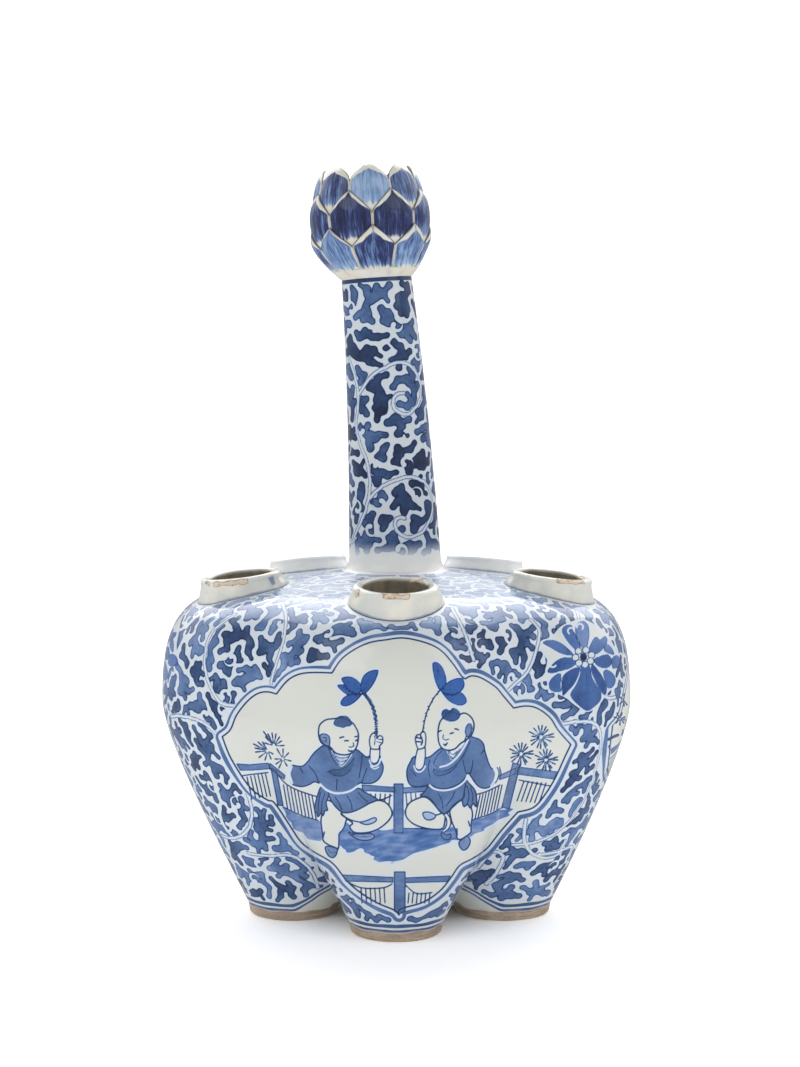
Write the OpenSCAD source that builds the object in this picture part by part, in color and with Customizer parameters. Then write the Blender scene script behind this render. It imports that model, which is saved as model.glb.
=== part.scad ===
// Five-lobed flower vase in blue-and-white porcelain, on five hollow legs.
// Its shoulder has five short collars round a tall leaning neck with a lotus-bud mouth.
// Millimetres. The vase stands on z = 0 and its front lobe faces -Y.

/* [Body] */
// Radius from the axis to the crest of a lobe at the widest level
body_r = 75.5; // [70:0.5:84]
// Height of the widest level, where the two halves are luted together
seam_z = 70; // [62:1:78]
// Height of the flat on which the neck stands
shoulder_z = 109.5; // [102:0.5:118]
// Distance from the axis to the centre of a lobe at the widest level
lobe_c = 30; // [22:0.5:34]
// Size of the fillet in the valleys between the lobes
valley_fillet = 5; // [2:0.5:8]
// Thickness of the clay wall
wall = 4; // [3:0.25:5]
// How far below the widest level the side begins to round in
belly_round = 14; // [8:1:20]
// How far below the neck flat the upright side of a lobe aims
edge_drop = 1.5; // [0:0.5:6]
// Radius that the shoulder aims for as it turns over
shoulder_r = 60; // [52:1:66]
// Fall of the shoulder from the neck flat to that radius
shoulder_fall = 6.8; // [4:0.2:12]

/* [Legs] */
// Distance from the axis to the centre of a foot
leg_c = 34.3; // [32:0.1:38]
// Radius of a leg where it meets its foot
leg_r = 14.4; // [12:0.1:15]
// How far a leg leans out above its foot
leg_flare = 5.5; // [2:0.5:10]
// Height over which it leans out
leg_rise = 12; // [8:1:20]
// Rise of the vault between the legs above the fork
vault_rise = 6; // [3:0.5:8]
// Crown of the floor inside, above the forks of the hollow legs
floor_crown = 2; // [1:0.5:4]
// Height of a foot pad
foot_h = 3; // [2:0.5:5]
// Radius of a foot pad where it stands
foot_r = 14; // [11.5:0.1:14.4]
// Bevel round the standing face
foot_bevel = 0.6; // [0.2:0.1:1]

/* [Collars] */
// Distance from the crest of a lobe in to the centre of a collar
collar_inset = 25; // [22.5:0.5:29]
// Radius of the bore of a collar
collar_bore_r = 9.7; // [8:0.1:11]
// Outer radius at the rim
collar_rim_r = 12.8; // [12.3:0.1:14]
// Outer radius where a collar meets the shoulder
collar_base_r = 14.2; // [13.5:0.1:15]
// Height of a collar above the shoulder on its own axis
collar_h = 5; // [4:0.5:9]
// Outward lean of a collar in degrees
collar_lean = 7.5; // [4:0.5:14]
// Rounding of the rim
rim_round = 1.2; // [0.4:0.1:1.25]

/* [Neck] */
// Length of the neck along its own axis
neck_len = 94; // [80:1:110]
// Lean of the neck in degrees
neck_lean = 3.8; // [0:0.1:6]
// Radius of the ring at the foot of the neck
neck_ring_r = 17.2; // [16:0.1:19]
// Height of the flare above that ring
neck_flare_h = 5; // [3:0.5:9]
// Radius of the neck above the flare
neck_base_r = 14.7; // [13:0.1:15.8]
// Radius of the neck under the bud
neck_top_r = 11.1; // [10:0.1:13]
// Thickness of the neck wall
neck_wall = 3.6; // [2.5:0.1:4.5]
// Ledge of the neck flat round the ring
seat_lip = 0.6; // [0.3:0.1:2]

/* [Bud] */
// Height of the bud above the neck
bud_h = 37.6; // [34:0.1:42]
// Largest radius of the bud
bud_r = 20.4; // [18.5:0.1:23]
// Height of the largest radius
bud_mid_h = 19; // [17:0.5:21]
// Radius of the bud at the tips of the upper petals
bud_lip_r = 14.6; // [13.5:0.1:16.5]
// How far the toe of the bud spreads beyond the neck
bud_toe = 2.7; // [1.5:0.1:5]
// Height of that toe
bud_toe_h = 2.5; // [1.5:0.1:4]
// Roundness of the bud below and above its largest radius
bud_round = 9.5; // [6:0.5:11]
// Wall of the cup behind the petals
cup_wall = 2.4; // [1.8:0.1:3]
// Height of the ledge on which the petals stand
ledge_h = 2.6; // [2:0.1:3.5]
// Height of the cup rim, where the upper petals part
rim_h = 31.6; // [30:0.1:33]
// Number of petals in a tier
petal_n = 8; // [6:1:10]
// Thickness of a petal
petal_t = 1.1; // [0.9:0.1:1.4]
// Depth by which the edges of a petal, and the tip of one that lies flat, sink below its middle
petal_dip = 0.6; // [0.2:0.1:0.6]
// Open angle between neighbouring petals in degrees
petal_gap = 1.2; // [0.6:0.1:2.5]
// Height at which the lower petals part
lower_notch_h = 9.6; // [7:0.1:12]
// Height of the tips of the lower petals
lower_tip_h = 16; // [13.5:0.1:18]
// Height at which the middle petals part
middle_notch_h = 20.4; // [19:0.1:23]
// Height of the tips of the middle petals
middle_tip_h = 28; // [25:0.1:30]

/* [Hidden] */
$fn = 96;

// Lobes, numbered from the front one towards +X
SIDES = ["front", "right", "back_right", "back_left", "left"];
lobe_n = len(SIDES);
lobe_step = 360 / lobe_n;
half_step = lobe_step / 2;
front_dir = -90;
// Turn of round cuts about their own axes, so that no edge of theirs runs along a crest
round_turn = 50;
// The odd number of lobes makes the box lopsided, so the axis moves back to centre the box
axis_y = lobe_c * (1 - cos(half_step)) / 2;

// Facets of the body: outer and inner arc of a leg, and rows up the surface
arc_steps = 16;
inner_steps = 6;
leg_n = arc_steps + inner_steps;
ring_n = lobe_n * arc_steps;
vault_n = lobe_n * inner_steps;
leg_rows = 3;
belly_rows = 9;
vault_rows = 4;
shoulder_rows = 13;

// Facets of a petal, the sharpness of its tip and its clearance from what it lies on
petal_cols = 4;
petal_rows = 7;
tip_power = 1.6;
petal_seat = 0.2;

bisect_steps = 30;
bevel_steps = 4;
flare_steps = 6;
curve_steps = 12;

collar_c = body_r - collar_inset;
seat_r = neck_ring_r + seat_lip;
neck_base_bore = neck_base_r - neck_wall;
neck_top_bore = neck_top_r - neck_wall;

// Crest of a lobe as [radius, height], below and above the seam
lower_curve = [
    [leg_c + leg_r, foot_h],
    [leg_c + leg_r + leg_flare, foot_h + leg_rise],
    [body_r, seam_z - belly_round],
    [body_r, seam_z]
];
upper_curve = [
    [body_r, seam_z],
    [body_r, shoulder_z - edge_drop],
    [shoulder_r, shoulder_z - shoulder_fall],
    [seat_r, shoulder_z]
];

// Outline of the bud as [radius, height above the neck], below and above its largest radius
bud_low = [
    [neck_top_r, 0],
    [neck_top_r + bud_toe, bud_toe_h],
    [bud_r, bud_mid_h - bud_round],
    [bud_r, bud_mid_h]
];
bud_high = [
    [bud_r, bud_mid_h],
    [bud_r, bud_mid_h + bud_round],
    [(bud_r + bud_lip_r) / 2, bud_h - bud_toe_h],
    [bud_lip_r, bud_h]
];

// Curves

function smooth(t) = t * t * (3 - 2 * t);

function bezier(p, t) =
    pow(1 - t, 3) * p[0] + 3 * t * pow(1 - t, 2) * p[1] + 3 * t * t * (1 - t) * p[2] + pow(t, 3) * p[3];

function heading(p, t) =
    let (d = pow(1 - t, 2) * (p[1] - p[0]) + 2 * t * (1 - t) * (p[2] - p[1]) + t * t * (p[3] - p[2]))
    d / norm(d);

// Point of a curve moved square to it, towards the axis, by a depth
function inset_point(p, t, depth) =
    let (h = heading(p, t))
    bezier(p, t) - depth * [h[1], -h[0]];

// Value between lo and hi at which the rising function f passes zero
function bisect(f, lo, hi, n = bisect_steps) =
    let (mid = (lo + hi) / 2)
    n == 0 ? mid : f(mid) > 0 ? bisect(f, lo, mid, n - 1) : bisect(f, mid, hi, n - 1);

// Height of the crest of the shoulder at a radius
function shoulder_height(r) =
    bezier(upper_curve, bisect(function (t) r - bezier(upper_curve, t)[0], 0, 1))[1];

// Lobed sections: a station is [lobe centre distance, lobe radius, height]

function lower_station(t, depth) =
    let (q = inset_point(lower_curve, t, depth), c = leg_c + (lobe_c - leg_c) * smooth(t))
    [c, q[0] - c, q[1]];

function upper_station(t, depth) =
    let (q = inset_point(upper_curve, t, depth), c = lobe_c * (1 - smooth(t)))
    [c, q[0] - c, q[1]];

// Place on the lower curve where neighbouring legs touch
function fork_t(depth) =
    bisect(function (t) let (s = lower_station(t, depth)) s[1] - s[0] * sin(half_step), 0, 1);

// Half of the arc of a lobe that stays outside its neighbours
function arc_half(s) = half_step + asin(min(1, s[0] * sin(half_step) / s[1]));

// Distance from the axis to the far side of a lobe in a direction off its crest
function reach(s, a) = s[0] * cos(a) + sqrt(max(0, pow(s[1], 2) - pow(s[0] * sin(a), 2)));

// Extra radius that rounds the valley between a lobe and its neighbour
function valley_fill(s, a, fillet) =
    let (step = abs(reach(s, a) - reach(s, lobe_step - abs(a))))
    fillet > 0 ? pow(max(fillet - step, 0), 2) / (4 * fillet) : 0;

function lobe_point(i, s, phi, fillet) =
    let (x = s[0] + s[1] * cos(phi), y = s[1] * sin(phi))
    let (a = atan2(y, x), r = norm([x, y]) + valley_fill(s, a, fillet))
    let (dir = front_dir + i * lobe_step + a)
    [r * cos(dir), r * sin(dir), s[2]];

// Whole lobed section
function ring(s, fillet) = [
    for (i = [0 : lobe_n - 1], j = [0 : arc_steps - 1])
        lobe_point(i, s, (2 * j / arc_steps - 1) * arc_half(s), fillet)
];

// Directions round a leg: the outer arc between the forks, then the arc towards the axis
function leg_phi(m) =
    let (half = 90 + half_step)
    m <= arc_steps
        ? (2 * m / arc_steps - 1) * half
        : half + (360 - 2 * half) * (m - arc_steps) / inner_steps;

// Faces between two loops of points, the first one lower or farther out
function band(a, b) = [
    for (k = [0 : len(a) - 1])
        let (n = (k + 1) % len(a))
        each [[a[k], b[k], b[n]], [a[k], b[n], a[n]]]
];

function fan(a, tip) = [for (k = [0 : len(a) - 1]) [a[k], tip, a[(k + 1) % len(a)]]];

function flip(faces) = [for (f = faces) [f[0], f[2], f[1]]];

function loop(start, n) = [for (k = [0 : n - 1]) start + k];

// Lower skin of the body at a depth below the glaze

// Points in this order: leg rows, rings from the fork to the seam, arcs under the vault, vault rows, apex
ring_start = leg_rows * lobe_n * leg_n;
arc_start = ring_start + (belly_rows + 1) * ring_n;
vault_start = arc_start + lobe_n * (inner_steps - 1);
apex_index = vault_start + (vault_rows - 1) * vault_n;
lower_skin_n = apex_index + 1;

function lower_skin_points(depth, rise) =
    let (tf = fork_t(depth), fork = lower_station(tf, depth))
    let (legs = [
        for (k = [0 : leg_rows - 1])
            let (s = lower_station(tf * k / leg_rows, depth), z = k == 0 ? foot_h : s[2])
            for (i = [0 : lobe_n - 1], m = [0 : leg_n - 1])
                lobe_point(i, [s[0], s[1], z], leg_phi(m), 0)
    ])
    let (rings = [
        for (k = [0 : belly_rows])
            let (u = k / belly_rows)
            each ring(lower_station(tf + (1 - tf) * u, depth), valley_fillet * smooth(u))
    ])
    let (arcs = [
        for (i = [0 : lobe_n - 1], m = [arc_steps + 1 : leg_n - 1])
            lobe_point(i, fork, leg_phi(m), 0)
    ])
    let (edge = [
        for (i = [lobe_n - 1 : -1 : 0], m = [arc_steps : leg_n - 1])
            lobe_point(i, fork, leg_phi(m), 0)
    ])
    let (vault = [
        for (k = [1 : vault_rows - 1])
            let (u = k / vault_rows)
            for (p = edge)
                [p[0] * (1 - u), p[1] * (1 - u), fork[2] + rise * sqrt(1 - pow(1 - u, 2))]
    ])
    concat(legs, rings, arcs, vault, [[0, 0, fork[2] + rise]]);

function leg_loop(k, i) =
    k < leg_rows
        ? loop((k * lobe_n + i) * leg_n, leg_n)
        : concat(
            loop(ring_start + i * arc_steps, arc_steps),
            [ring_start + ((i + 1) % lobe_n) * arc_steps],
            loop(arc_start + i * (inner_steps - 1), inner_steps - 1)
        );

function vault_loop(k) =
    k > 0
        ? loop(vault_start + (k - 1) * vault_n, vault_n)
        : [
            for (i = [lobe_n - 1 : -1 : 0])
                each concat(
                    [ring_start + ((i + 1) % lobe_n) * arc_steps],
                    loop(arc_start + i * (inner_steps - 1), inner_steps - 1)
                )
        ];

function seam_loop() = loop(ring_start + belly_rows * ring_n, ring_n);

function lower_skin_faces() = concat(
    [for (k = [0 : leg_rows - 1], i = [0 : lobe_n - 1]) each band(leg_loop(k, i), leg_loop(k + 1, i))],
    [
        for (k = [0 : belly_rows - 1])
            each band(loop(ring_start + k * ring_n, ring_n), loop(ring_start + (k + 1) * ring_n, ring_n))
    ],
    [for (k = [0 : vault_rows - 2]) each band(vault_loop(k), vault_loop(k + 1))],
    fan(vault_loop(vault_rows - 1), apex_index)
);

function shifted(faces, by) = [for (f = faces) [for (v = f) v + by]];

// Upper skin of the body at a depth below the glaze: rings from the seam to the neck flat, then its middle

upper_skin_n = (shoulder_rows + 1) * ring_n + 1;

function upper_skin_points(depth) =
    let (top = upper_station(1, depth))
    concat(
        [
            for (k = [0 : shoulder_rows])
                let (s = upper_station(k / shoulder_rows, depth))
                each ring(s, valley_fillet * s[0] / lobe_c)
        ],
        [[0, 0, top[2]]]
    );

function upper_skin_faces() = concat(
    [for (k = [0 : shoulder_rows - 1]) each band(loop(k * ring_n, ring_n), loop((k + 1) * ring_n, ring_n))],
    fan(loop(shoulder_rows * ring_n, ring_n), upper_skin_n - 1)
);

// Frames

module on_axis() {
    translate([0, axis_y, 0]) children();
}

module on_lobe(i) {
    on_axis() rotate([0, 0, front_dir + i * lobe_step]) children();
}

module on_collar(i) {
    on_lobe(i)
        translate([collar_c, 0, shoulder_height(collar_c)])
            rotate([0, collar_lean, 0])
                rotate([0, 0, round_turn])
                    children();
}

module on_neck() {
    on_axis() translate([0, 0, shoulder_z]) rotate([0, -neck_lean, 0]) children();
}

// Pieces of the body

module lower_body() {
    outer = lower_skin_points(0, vault_rise);
    inner = lower_skin_points(wall, floor_crown);
    n = lower_skin_n;
    color("cornflowerblue")
        on_axis()
            polyhedron(
                points = concat(outer, inner),
                faces = concat(
                    lower_skin_faces(),
                    flip(shifted(lower_skin_faces(), n)),
                    band(seam_loop(), [for (v = seam_loop()) v + n]),
                    [
                        for (i = [0 : lobe_n - 1])
                            each flip(band(leg_loop(0, i), [for (v = leg_loop(0, i)) v + n]))
                    ]
                ),
                convexity = 10
            );
}

module upper_shell() {
    seam = loop(0, ring_n);
    n = upper_skin_n;
    on_axis()
        polyhedron(
            points = concat(upper_skin_points(0), upper_skin_points(wall)),
            faces = concat(
                upper_skin_faces(),
                flip(shifted(upper_skin_faces(), n)),
                flip(band(seam, [for (v = seam) v + n]))
            ),
            convexity = 10
        );
}

// The upper half filled in, as a cutter that copes the collars
module upper_solid() {
    on_axis()
        polyhedron(
            points = concat(upper_skin_points(0), [[0, 0, seam_z]]),
            faces = concat(upper_skin_faces(), flip(fan(loop(0, ring_n), upper_skin_n))),
            convexity = 10
        );
}

// Depth to which a collar blank and its bore run below the crest of the shoulder
collar_sink = shoulder_height(collar_c) - shoulder_height(collar_c + collar_base_r) + 2 * wall;

module upper_body() {
    color("cornflowerblue")
        difference() {
            upper_shell();
            for (i = [0 : lobe_n - 1])
                on_collar(i)
                    translate([0, 0, -collar_sink])
                        cylinder(r = collar_bore_r, h = collar_sink + collar_h);
            on_neck()
                translate([0, 0, -3 * wall])
                    rotate([0, 0, round_turn])
                        cylinder(r = neck_base_bore, h = 4 * wall);
        }
}

// Quarter round from an angle, as points about a centre
function quarter(centre, r, from) = [
    for (k = [0 : bevel_steps])
        let (a = from + 90 * k / bevel_steps)
        centre + r * [cos(a), sin(a)]
];

module collar(i) {
    flare = (collar_base_r - collar_rim_r) / collar_h;
    color("whitesmoke")
        difference() {
            on_collar(i)
                rotate_extrude()
                    polygon(concat(
                        [[collar_bore_r, -collar_sink]],
                        [[collar_base_r + flare * collar_sink, -collar_sink]],
                        quarter([collar_rim_r - rim_round, collar_h - rim_round], rim_round, 0),
                        quarter([collar_bore_r + rim_round, collar_h - rim_round], rim_round, 90)
                    ));
            upper_solid();
        }
}

// Base pad that closes a hollow leg, left unglazed
module foot(i) {
    color("tan")
        on_lobe(i)
            translate([leg_c, 0, 0])
                rotate_extrude()
                    polygon([
                        [0, 0],
                        [foot_r - foot_bevel, 0],
                        [foot_r, foot_bevel],
                        [leg_r, foot_h],
                        [0, foot_h]
                    ]);
}

// Neck and bud

// The leaning neck is cut off level where it stands on the shoulder
module neck() {
    below = neck_ring_r * sin(neck_lean) + seat_lip;
    flare = [
        for (k = [0 : flare_steps])
            let (a = 90 * k / flare_steps)
            [
                neck_base_r + (neck_ring_r - neck_base_r) * (1 - sin(a)),
                neck_flare_h * (1 - cos(a))
            ]
    ];
    color("lightsteelblue")
        difference() {
            on_neck()
                rotate_extrude()
                    polygon(concat(
                        [[neck_base_bore, -below], [neck_ring_r, -below]],
                        flare,
                        [[neck_top_r, neck_len], [neck_top_bore, neck_len], [neck_base_bore, 0]]
                    ));
            on_axis()
                translate([-2 * neck_ring_r, -2 * neck_ring_r, shoulder_z - 4 * neck_ring_r])
                    cube(4 * neck_ring_r);
        }
}

// Point of the bud outline, with t from 0 at the neck to 2 at the tips, at a depth below the surface
function bud_point(t, depth) =
    t <= 1 ? inset_point(bud_low, t, depth) : inset_point(bud_high, t - 1, depth);

function bud_t(h) = bisect(function (t) bud_point(t, 0)[1] - h, 0, 2);

ledge_t = bud_t(ledge_h);
rim_t = bud_t(rim_h);
cup_depth = 3 * petal_t;

// Stretch of the bud outline between two places
function bud_run(t1, t2, depth) = [
    for (k = [0 : curve_steps])
        bud_point(t1 + (t2 - t1) * k / curve_steps, depth)
];

module bud_cup() {
    color("ivory")
        on_neck()
            translate([0, 0, neck_len])
                rotate_extrude()
                    polygon(concat(
                        [[neck_top_bore, 0]],
                        bud_run(0, ledge_t, 0),
                        bud_run(ledge_t, rim_t, cup_depth),
                        bud_run(rim_t, ledge_t, cup_depth + cup_wall)
                    ));
}

// How far t has come from the notch towards the tip
function tip_share(t, notch_t, tip_t) = max(0, (t - notch_t) / (tip_t - notch_t));

// One petal: rows from its foot to its tip, first on the face and then on the back.
// Droop is 1 where the tip lies flat on the tier behind it, and 0 where it stands free.
module petal(layer, notch_t, tip_t, droop) {
    foot_t = bud_t(ledge_h + petal_seat);
    half = 180 / petal_n - petal_gap / 2;
    cols = petal_cols + 1;
    face_n = petal_rows * cols + 1;
    function side(back) = [
        for (k = [0 : petal_rows - 1])
            let (t = foot_t + (tip_t - foot_t) * k / petal_rows)
            for (j = [0 : petal_cols])
                let (w = tip_share(t, notch_t, tip_t), u = 2 * j / petal_cols - 1)
                let (a = u * half * (1 - pow(w, tip_power)))
                let (dip = back ? petal_t - petal_seat : petal_dip * max(u * u, droop * w * w))
                let (q = bud_point(t, layer * petal_t + dip))
                [q[0] * cos(a), q[0] * sin(a), q[1]]
    ];
    function tip(depth) =
        let (q = bud_point(tip_t, layer * petal_t + depth))
        [q[0], 0, q[1]];
    function row(k, from) =
        k < petal_rows ? loop(from + k * cols, cols) : [for (j = [0 : petal_cols]) from + face_n - 1];
    function quads(a, b) = [
        for (j = [0 : petal_cols - 1])
            each [[a[j], b[j], b[j + 1]], [a[j], b[j + 1], a[j + 1]]]
    ];
    function sheet(from) = [
        for (k = [0 : petal_rows - 1])
            each [for (f = quads(row(k, from), row(k + 1, from))) if (f[1] != f[2]) f]
    ];
    function edge(j, from) = [for (k = [0 : petal_rows]) row(k, from)[j]];
    function strip(a, b) = [
        for (k = [0 : petal_rows - 1])
            each [[a[k], b[k], b[k + 1]], [a[k], b[k + 1], a[k + 1]]]
    ];
    polyhedron(
        points = concat(side(false), [tip(petal_dip * droop)], side(true), [tip(petal_t - petal_seat)]),
        faces = concat(
            sheet(0),
            flip(sheet(face_n)),
            strip(edge(petal_cols, 0), edge(petal_cols, face_n)),
            flip(strip(edge(0, 0), edge(0, face_n))),
            flip(quads(row(0, 0), row(0, face_n)))
        )
    );
}

// Ring of petals; the middle tier is turned by half a petal
module tier(layer, notch_h, tip_h, turn, droop) {
    on_neck()
        translate([0, 0, neck_len])
            for (k = [0 : petal_n - 1])
                rotate([0, 0, front_dir + (k + turn) * 360 / petal_n])
                    petal(layer, bud_t(notch_h), tip_h < bud_h ? bud_t(tip_h) : 2, droop);
}

module lower_petals() {
    color("slateblue") tier(0, lower_notch_h, lower_tip_h, 0, 1);
}

module middle_petals() {
    color("darkslateblue") tier(1, middle_notch_h, middle_tip_h, 1 / 2, 1);
}

module upper_petals() {
    color("steelblue") tier(2, rim_h, bud_h, 0, 0);
}

lower_body();
upper_body();
neck();
bud_cup();
lower_petals();
middle_petals();
upper_petals();
for (i = [0 : lobe_n - 1])
    collar(i);
for (i = [0 : lobe_n - 1])
    foot(i);
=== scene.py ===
"""Dresses the packed tulip vase: a lobed body painted in cobalt under a clear glaze, a leaning neck,
a lotus-bud mouth, five glazed collars and unglazed feet.

Lengths in the shape functions are millimetres. The vase stands on z = 0, and its front lobe faces -Y.
"""

import math

import bpy
import numpy as np
from bpy.props import FloatProperty, FloatVectorProperty, IntProperty, PointerProperty
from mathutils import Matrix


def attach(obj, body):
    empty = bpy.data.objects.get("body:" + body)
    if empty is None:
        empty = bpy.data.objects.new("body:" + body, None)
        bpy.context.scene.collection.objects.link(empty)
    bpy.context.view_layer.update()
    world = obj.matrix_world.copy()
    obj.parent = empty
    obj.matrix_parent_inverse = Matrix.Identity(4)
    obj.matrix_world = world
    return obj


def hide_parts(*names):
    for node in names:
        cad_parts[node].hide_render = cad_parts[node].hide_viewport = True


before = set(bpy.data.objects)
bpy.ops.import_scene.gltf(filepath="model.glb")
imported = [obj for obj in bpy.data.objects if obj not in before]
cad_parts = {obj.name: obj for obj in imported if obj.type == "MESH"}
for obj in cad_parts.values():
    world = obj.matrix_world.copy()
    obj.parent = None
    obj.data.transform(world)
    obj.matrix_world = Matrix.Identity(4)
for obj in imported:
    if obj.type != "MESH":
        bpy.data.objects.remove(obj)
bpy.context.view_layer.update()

bl_info = {
    "name": "Lobed tulip vase",
    "version": (1, 0, 0),
    "blender": (4, 5, 0),
    "location": "3D View > Sidebar > Vase",
    "description": "Builds the painted porcelain of a lobed tulip vase round its packed solids",
    "category": "Add Mesh",
}

MM = 0.001
SIDES = ("front", "right", "back_right", "back_left", "left")
LOBES = len(SIDES)
LOBE_STEP = 2 * math.pi / LOBES
HALF_STEP = LOBE_STEP / 2
FRONT = -math.pi / 2

# Value of a field of distances where there is no paint
FAR = 9.0
# The hand-made form: its share of extra width, and its shifts at the right legs, the front legs and the bud
STRAY_WIDTH, STRAY_RIGHT, STRAY_FRONT, STRAY_BUD = 0.0125, 2.2, 2.6, 0.9
# Flat of the shoulder round the foot of the neck, and room round the bore of a collar
SEAT_LIP, HOLE_ROOM = 0.6, 0.5
# Girth of a lobe and run of a leg, from which the painted skin is divided into columns and rows
LOBE_GIRTH, LEG_RUN = 93, 12.5
# Steps round a turned piece and round a collar
ROUND_STEPS, COLLAR_STEPS = 144, 192
# Turns about the axis at which the panels and vines are painted, and the flower heads
SPINS, FLOWER_SPINS = (0.0, 1.876, -2.42), (0.0, -2.33)
# The sheet for drawings: its width and height in points, and points to a millimetre
SHEET, POINTS = (800, 1067), 3.1
# Sizes of the leaves on the body and on the neck, and the length of a step along a growing leaf
BODY_LEAF, NECK_LEAF, STRIDE = 0.88, 0.96, 0.3
# Rounds of leaves: share of the full size, free ground that a leaf needs, and length of its spine
LEAF_ROUNDS = ((1.0, 2.2, 13), (1.0, 2.0, 8), (0.9, 1.75, 6))
# Heights in metres over which the neck is dimmed, and over which its painted glare fades out
NECK_DIM, NECK_GLARE = (0.114, 0.122), (0.1195, 0.1135)
# Distances in metres: behind the axis to the collars with the most painted glare, and out from it to the
# floor's full glow past the painted shade under the vase
BACK_GLARE, GLOW_REACH = (0.01, 0.03), (0.02, 0.053)
# Height of the painted hem of a leg at the crest, and its rise towards the sides
HEM_Z, HEM_RISE = 3.75, 7
# Distance of the leaves from the line of a panel, from a hem and from a collar
PANEL_MARGIN, HEM_MARGIN, COLLAR_MARGIN = 2.35, 2.4, 0.75


# Sizes and colours that a user would change


def length(name, description, millimetres):
    """A length property whose default is given in millimetres."""
    return FloatProperty(name=name, description=description, default=millimetres * MM, unit="LENGTH",
                         precision=5)


def angle(name, description, degrees):
    """An angle property whose default is given in degrees."""
    return FloatProperty(name=name, description=description, default=math.radians(degrees), subtype="ANGLE")


def colour(name, description, red, green, blue):
    """A colour property whose default is given as display values from 0 to 255."""
    shares = (v / 255 for v in (red, green, blue))
    linear = [v / 12.92 if v < 0.04 else ((v + 0.055) / 1.055) ** 2.4 for v in shares]
    return FloatVectorProperty(name=name, description=description, default=linear, size=3, subtype="COLOR",
                               min=0, max=1)


class BodySizes(bpy.types.PropertyGroup):
    """Sizes of the lobed body and its legs."""

    body_r: length("Crest radius", "Axis to the crest of a lobe at the widest level", 75.5)
    seam_z: length("Seam height", "Height of the widest level, where the halves are luted together", 70)
    shoulder_z: length("Shoulder height", "Height of the flat on which the neck stands", 109.5)
    lobe_c: length("Lobe centre", "Axis to the centre of a lobe at the widest level", 30)
    valley_fillet: length("Valley fillet", "Size of the fillet in the valleys between lobes", 5)
    wall: length("Wall", "Thickness of the clay wall", 4)
    belly_round: length("Belly round", "How far below the widest level the side begins to round in", 14)
    edge_drop: length("Edge drop", "How far below the neck flat the upright side of a lobe aims", 1.5)
    shoulder_r: length("Shoulder radius", "Radius that the shoulder aims for as it turns over", 60)
    shoulder_fall: length("Shoulder fall", "Fall of the shoulder from the neck flat to that radius", 6.8)
    leg_c: length("Leg centre", "Axis to the centre of a foot", 34.3)
    leg_r: length("Leg radius", "Radius of a leg where it meets its foot", 14.4)
    leg_flare: length("Leg flare", "How far a leg leans out above its foot", 5.5)
    leg_rise: length("Leg rise", "Height over which a leg leans out", 12)
    vault_rise: length("Vault rise", "Rise of the vault between the legs above the fork", 6)
    floor_crown: length("Floor crown", "Crown of the floor inside, above the forks of the hollow legs", 2)
    foot_h: length("Foot height", "Height of a foot pad", 3)
    foot_r: length("Foot radius", "Radius of a foot pad where it stands", 14)
    foot_bevel: length("Foot bevel", "Bevel round the underside of a foot pad", 0.6)


class CollarSizes(bpy.types.PropertyGroup):
    """Sizes of the collars on the shoulder."""

    centre: length("Centre", "Axis to the centre of a collar", 50.5)
    bore_r: length("Bore radius", "Radius of the bore", 9.7)
    rim_r: length("Rim radius", "Outer radius at the rim", 12.8)
    base_r: length("Base radius", "Outer radius where a collar meets the shoulder", 14.2)
    height: length("Height", "Height above the shoulder on its own axis", 5)
    rim_round: length("Rim round", "Rounding of the rim", 1.2)
    bed: length("Bed", "Depth to which a collar is bedded in the shoulder", 2.2)
    unevenness: length("Unevenness", "How far the hand-made rim strays from a true ring", 0.35)
    lean: angle("Lean", "Outward lean of a collar", 7.5)


class NeckSizes(bpy.types.PropertyGroup):
    """Sizes of the leaning neck."""

    run: length("Length", "Length of the neck along its own axis", 94)
    ring_r: length("Ring radius", "Radius of the ring at the foot of the neck", 17.2)
    flare_h: length("Flare height", "Height of the flare above that ring", 5)
    base_r: length("Base radius", "Radius of the neck above the flare", 14.7)
    top_r: length("Top radius", "Radius of the neck under the bud", 11.1)
    wall: length("Wall", "Thickness of the neck wall", 3.6)
    lean: angle("Lean", "Lean of the neck to the left", 3.8)


class BudSizes(bpy.types.PropertyGroup):
    """Sizes of the lotus bud and its petals."""

    height: length("Height", "Height of the bud above the neck", 37.6)
    radius: length("Radius", "Largest radius of the bud", 20.4)
    mid_h: length("Middle height", "Height of the largest radius", 19)
    lip_r: length("Lip radius", "Radius at the tips of the upper petals", 14.6)
    toe: length("Toe", "How far the toe of the bud spreads beyond the neck", 2.7)
    toe_h: length("Toe height", "Height of that toe", 2.5)
    roundness: length("Roundness", "Roundness below and above the largest radius", 9.5)
    cup_wall: length("Cup wall", "Wall of the cup behind the petals", 2.4)
    ledge_h: length("Ledge height", "Height of the ledge on which the petals stand", 2.6)
    rim_h: length("Rim height", "Height of the cup rim, where the upper petals part", 31.6)
    petal_t: length("Petal thickness", "Thickness of a petal", 1.1)
    petal_dip: length("Petal dip", "Depth by which the edges of a petal sink below its middle", 0.8)
    petal_seat: length("Petal seat", "Clearance of a petal from what it lies on", 0.2)
    lower_notch_h: length("Lower notch", "Height at which the lower petals part", 9.6)
    lower_tip_h: length("Lower tips", "Height of the tips of the lower petals", 16)
    middle_notch_h: length("Middle notch", "Height at which the middle petals part", 20.4)
    middle_tip_h: length("Middle tips", "Height of the tips of the middle petals", 28)
    petal_gap: angle("Petal gap", "Open angle between neighbouring petals", 0.3)
    petal_turn: angle("Petal turn", "Turn of the petals from the front", 3)
    petal_n: IntProperty(name="Petals", description="Number of petals in a tier", default=8, min=6, max=10)


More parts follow.
